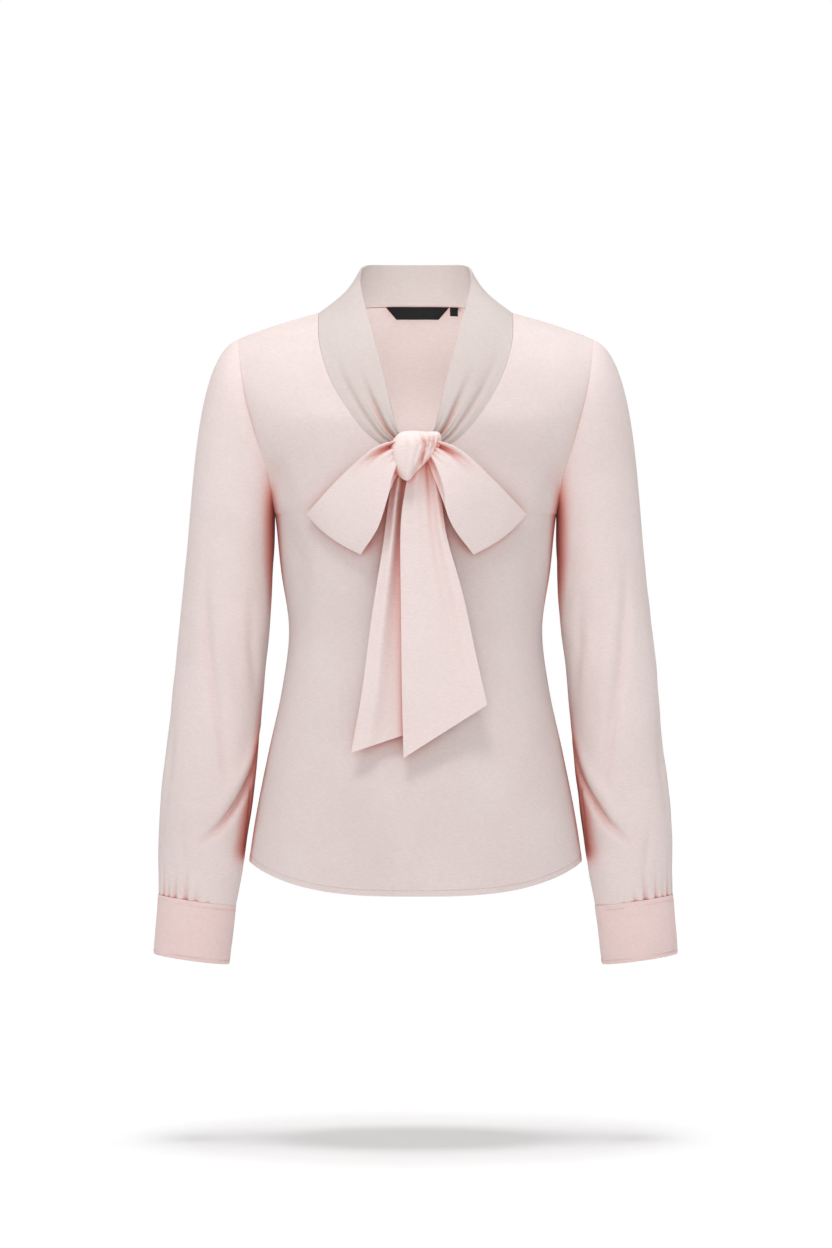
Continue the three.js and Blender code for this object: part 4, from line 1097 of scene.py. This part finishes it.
def crepe(name, colour, shade):
    """Matt crepe: a fine pebbled crinkle over a plain weave, with faint uneven colour, and painted shade
    that turns its folds and the cloth under other pieces darker and pinker.
    """
    material, nodes, links, surface = new_material(name)
    place = nodes.new("ShaderNodeTexCoord").outputs["Object"]
    tint = ramp(nodes, links, noise(nodes, links, place, *TINT_NOISE), srgb(shade), srgb(colour))
    threads = set_inputs(nodes.new("ShaderNodeMapping"), {"Scale": SLUB_SCALE})
    links.new(place, threads.inputs["Vector"])
    slubs = noise(nodes, links, threads.outputs["Vector"], *SLUB_NOISE)
    fleck = ramp(nodes, links, slubs, SLUB_SHADE, WHITE, *SLUB_STOPS)
    woven = multiplied(nodes, links, tint, fleck, SLUB_SHARE)
    links.new(painted_fold_shade(nodes, links, woven), surface.inputs["Base Color"])
    crinkle, soft = (bump(nodes, links, noise(nodes, links, place, *relief["noise"]), relief)
                     for relief in (CRINKLE, SOFTNESS))
    links.new(crinkle.outputs["Normal"], soft.inputs["Normal"])
    links.new(soft.outputs["Normal"], surface.inputs["Normal"])
    set_inputs(surface, CREPE_SURFACE)
    return material


def satin(name, colour):
    material, nodes, links, surface = new_material(name)
    place = nodes.new("ShaderNodeTexCoord").outputs["Object"]
    tint = ramp(nodes, links, noise(nodes, links, place, *SATIN_NOISE), srgb(SATIN_DARK), srgb(colour))
    links.new(tint, surface.inputs["Base Color"])
    ribs = set_inputs(nodes.new("ShaderNodeTexWave"), {"Scale": SATIN_RIBS["scale"]})
    ribs.bands_direction = "Z"
    links.new(place, ribs.inputs["Vector"])
    raised = bump(nodes, links, ribs.outputs["Fac"], SATIN_RIBS)
    links.new(raised.outputs["Normal"], surface.inputs["Normal"])
    set_inputs(surface, SATIN_SURFACE)
    return material


def dress(piece, material, slot, *nodes):
    """The piece with its material; it rides on the body and stands for the nodes named."""
    piece.data.materials.append(material)
    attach(piece, "root")
    if nodes:
        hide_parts(*nodes)
    return piece


def floor():
    """White paper under the garment; its faint glow keeps it as bright as the surroundings."""
    mesh = bpy.data.meshes.new("floor")
    size = FLOOR_HALF_WIDTH
    corners = [(-size, -size, 0), (size, -size, 0), (size, size, 0), (-size, size, 0)]
    mesh.from_pydata(corners, [], [(0, 1, 2, 3)])
    piece = bpy.data.objects.new("floor", mesh)
    piece.location.z = FLOOR_Z * MM
    bpy.context.scene.collection.objects.link(piece)
    material, nodes, links, surface = new_material("floor_paper")
    place = nodes.new("ShaderNodeTexCoord").outputs["Object"]
    pale = ramp(nodes, links, noise(nodes, links, place, FLOOR_NOISE_SCALE),
                *map(srgb, FLOOR_WHITES))
    links.new(pale, surface.inputs["Base Color"])
    set_inputs(surface, FLOOR_SURFACE)
    piece.data.materials.append(material)
    return piece


def area_light(name, values):
    light = bpy.data.lights.new(name, "AREA")
    light.shape = "RECTANGLE"
    light.size, light.size_y = values["size"]
    light.energy = values["power"]
    lamp = bpy.data.objects.new(name, light)
    lamp.location = values["place"]
    lamp.visible_camera = False
    heading = Vector(values["aim"]) - Vector(values["place"])
    lamp.rotation_euler = heading.to_track_quat("-Z", "Y").to_euler()
    bpy.context.scene.collection.objects.link(lamp)
    return lamp


def keep_off(lamp, piece):
    """The lamp lights everything but one piece."""
    unlit = bpy.data.collections.new(lamp.name + "_unlit")
    unlit.objects.link(piece)
    unlit.collection_objects[0].light_linking.link_state = "EXCLUDE"
    lamp.light_linking.receiver_collection = unlit


def sun(name, values):
    """A soft sun that shines straight down."""
    light = bpy.data.lights.new(name, "SUN")
    light.angle = math.radians(values["angle"])
    light.energy = values["strength"]
    bpy.context.scene.collection.objects.link(bpy.data.objects.new(name, light))


def studio(paper):
    """White surroundings for the camera, dimmer light for the cloth, and soft lights round the garment."""
    world = bpy.data.worlds.new("studio")
    bpy.context.scene.world = world
    world.use_nodes = True
    nodes, links = world.node_tree.nodes, world.node_tree.links
    seen = nodes.new("ShaderNodeLightPath").outputs["Is Camera Ray"]
    dim = nodes["Background"]
    dim.inputs["Strength"].default_value = AMBIENT_LIGHT
    white = nodes.new("ShaderNodeBackground")
    white.inputs["Strength"].default_value = 1.0
    both = nodes.new("ShaderNodeMixShader")
    for node in (dim, white):
        node.inputs["Color"].default_value = WHITE
    links.new(seen, both.inputs["Fac"])
    links.new(dim.outputs[0], both.inputs[1])
    links.new(white.outputs[0], both.inputs[2])
    links.new(both.outputs[0], nodes["World Output"].inputs["Surface"])
    sun("overhead", OVERHEAD_SUN)
    keep_off(area_light("top_front", KEY_LIGHT), paper)
    area_light("front_soft", FRONT_LIGHT)
    area_light("inner_fill", NECK_LIGHT)


def camera():
    bpy.context.scene.view_settings.view_transform = "Standard"
    data = bpy.data.cameras.new("camera")
    data.sensor_width = SENSOR
    data.lens = SENSOR * CAMERA_DISTANCE / (PHOTO_HEIGHT * MM_PER_PIXEL)
    view = bpy.data.objects.new("camera", data)
    x = (PHOTO_MIDDLE["x"] - PHOTO_ORIGIN["x"]) * MM_PER_PIXEL
    z = (PHOTO_ORIGIN["y"] - PHOTO_MIDDLE["y"]) * MM_PER_PIXEL
    view.location = (x * MM, -CAMERA_DISTANCE * MM, z * MM)
    view.rotation_euler = (math.pi / 2, 0, 0)
    bpy.context.scene.collection.objects.link(view)
    bpy.context.scene.camera = view


camera()
studio(floor())

# Materials, each with its colour and a slightly darker shade of it
body_crepe = crepe("body_crepe", 0xddd1ce, 0xd7c9c6)
sleeve_crepe = crepe("sleeve_crepe", 0xe4d6d3, 0xddcfcc)
cuff_crepe = crepe("cuff_crepe", 0xe8d1ce, 0xe1cac7)
# The collar's colour is darker than the rest of the crepe: painted shade, for a collar that faces down and
# inwards
collar_crepe = crepe("collar_crepe", 0xcbc1bd, 0xc5bab6)
# The tie's colour is lighter than the rest of the crepe: painted light, for a bow lit from above
tie_crepe = crepe("tie_crepe", 0xe8dad7, 0xe3d4d1)
label_satin = satin("label_satin", 0x121212)

# Pieces
front = dress(make_front(), body_crepe, "body_crepe", "front")
front_thread = dress(hem_stitches(FRONT, "hem_stitches_front"), body_crepe, "body_crepe")
back = dress(make_back(), body_crepe, "body_crepe", "back")
back_thread = dress(hem_stitches(BACK, "hem_stitches_back"), body_crepe, "body_crepe")
for side, hand in ((-1, "left"), (1, "right")):
    sleeve = dress(make_sleeve(side, f"sleeve_cloth_{hand}"), sleeve_crepe, "sleeve_crepe", f"sleeve_{hand}")
    cuff = dress(make_cuff(side, f"cuff_cloth_{hand}"), cuff_crepe, "cuff_crepe", f"cuff_{hand}")
    thread = dress(cuff_stitches(side, f"cuff_stitches_{hand}"), cuff_crepe, "cuff_crepe")
collar = dress(make_collar(), collar_crepe, "collar_crepe", "collar")
dress(make_knot(), tie_crepe, "tie_crepe", "knot")
for loop, hand in ((LEFT_LOOP, "left"), (RIGHT_LOOP, "right")):
    piece = dress(make_loop(loop, f"loop_cloth_{hand}"), tie_crepe, "tie_crepe", f"loop_{hand}")
for tail, hand in ((LEFT_TAIL, "left"), (RIGHT_TAIL, "right")):
    piece = dress(make_tail(tail, f"tail_cloth_{hand}"), tie_crepe, "tie_crepe", f"tail_{hand}")
dress(make_label(LABEL_TAB, "label_ribbon"), label_satin, "label_satin", "label")
dress(make_label(SIZE_TAB, "size_tab_ribbon"), label_satin, "label_satin", "size_tab")
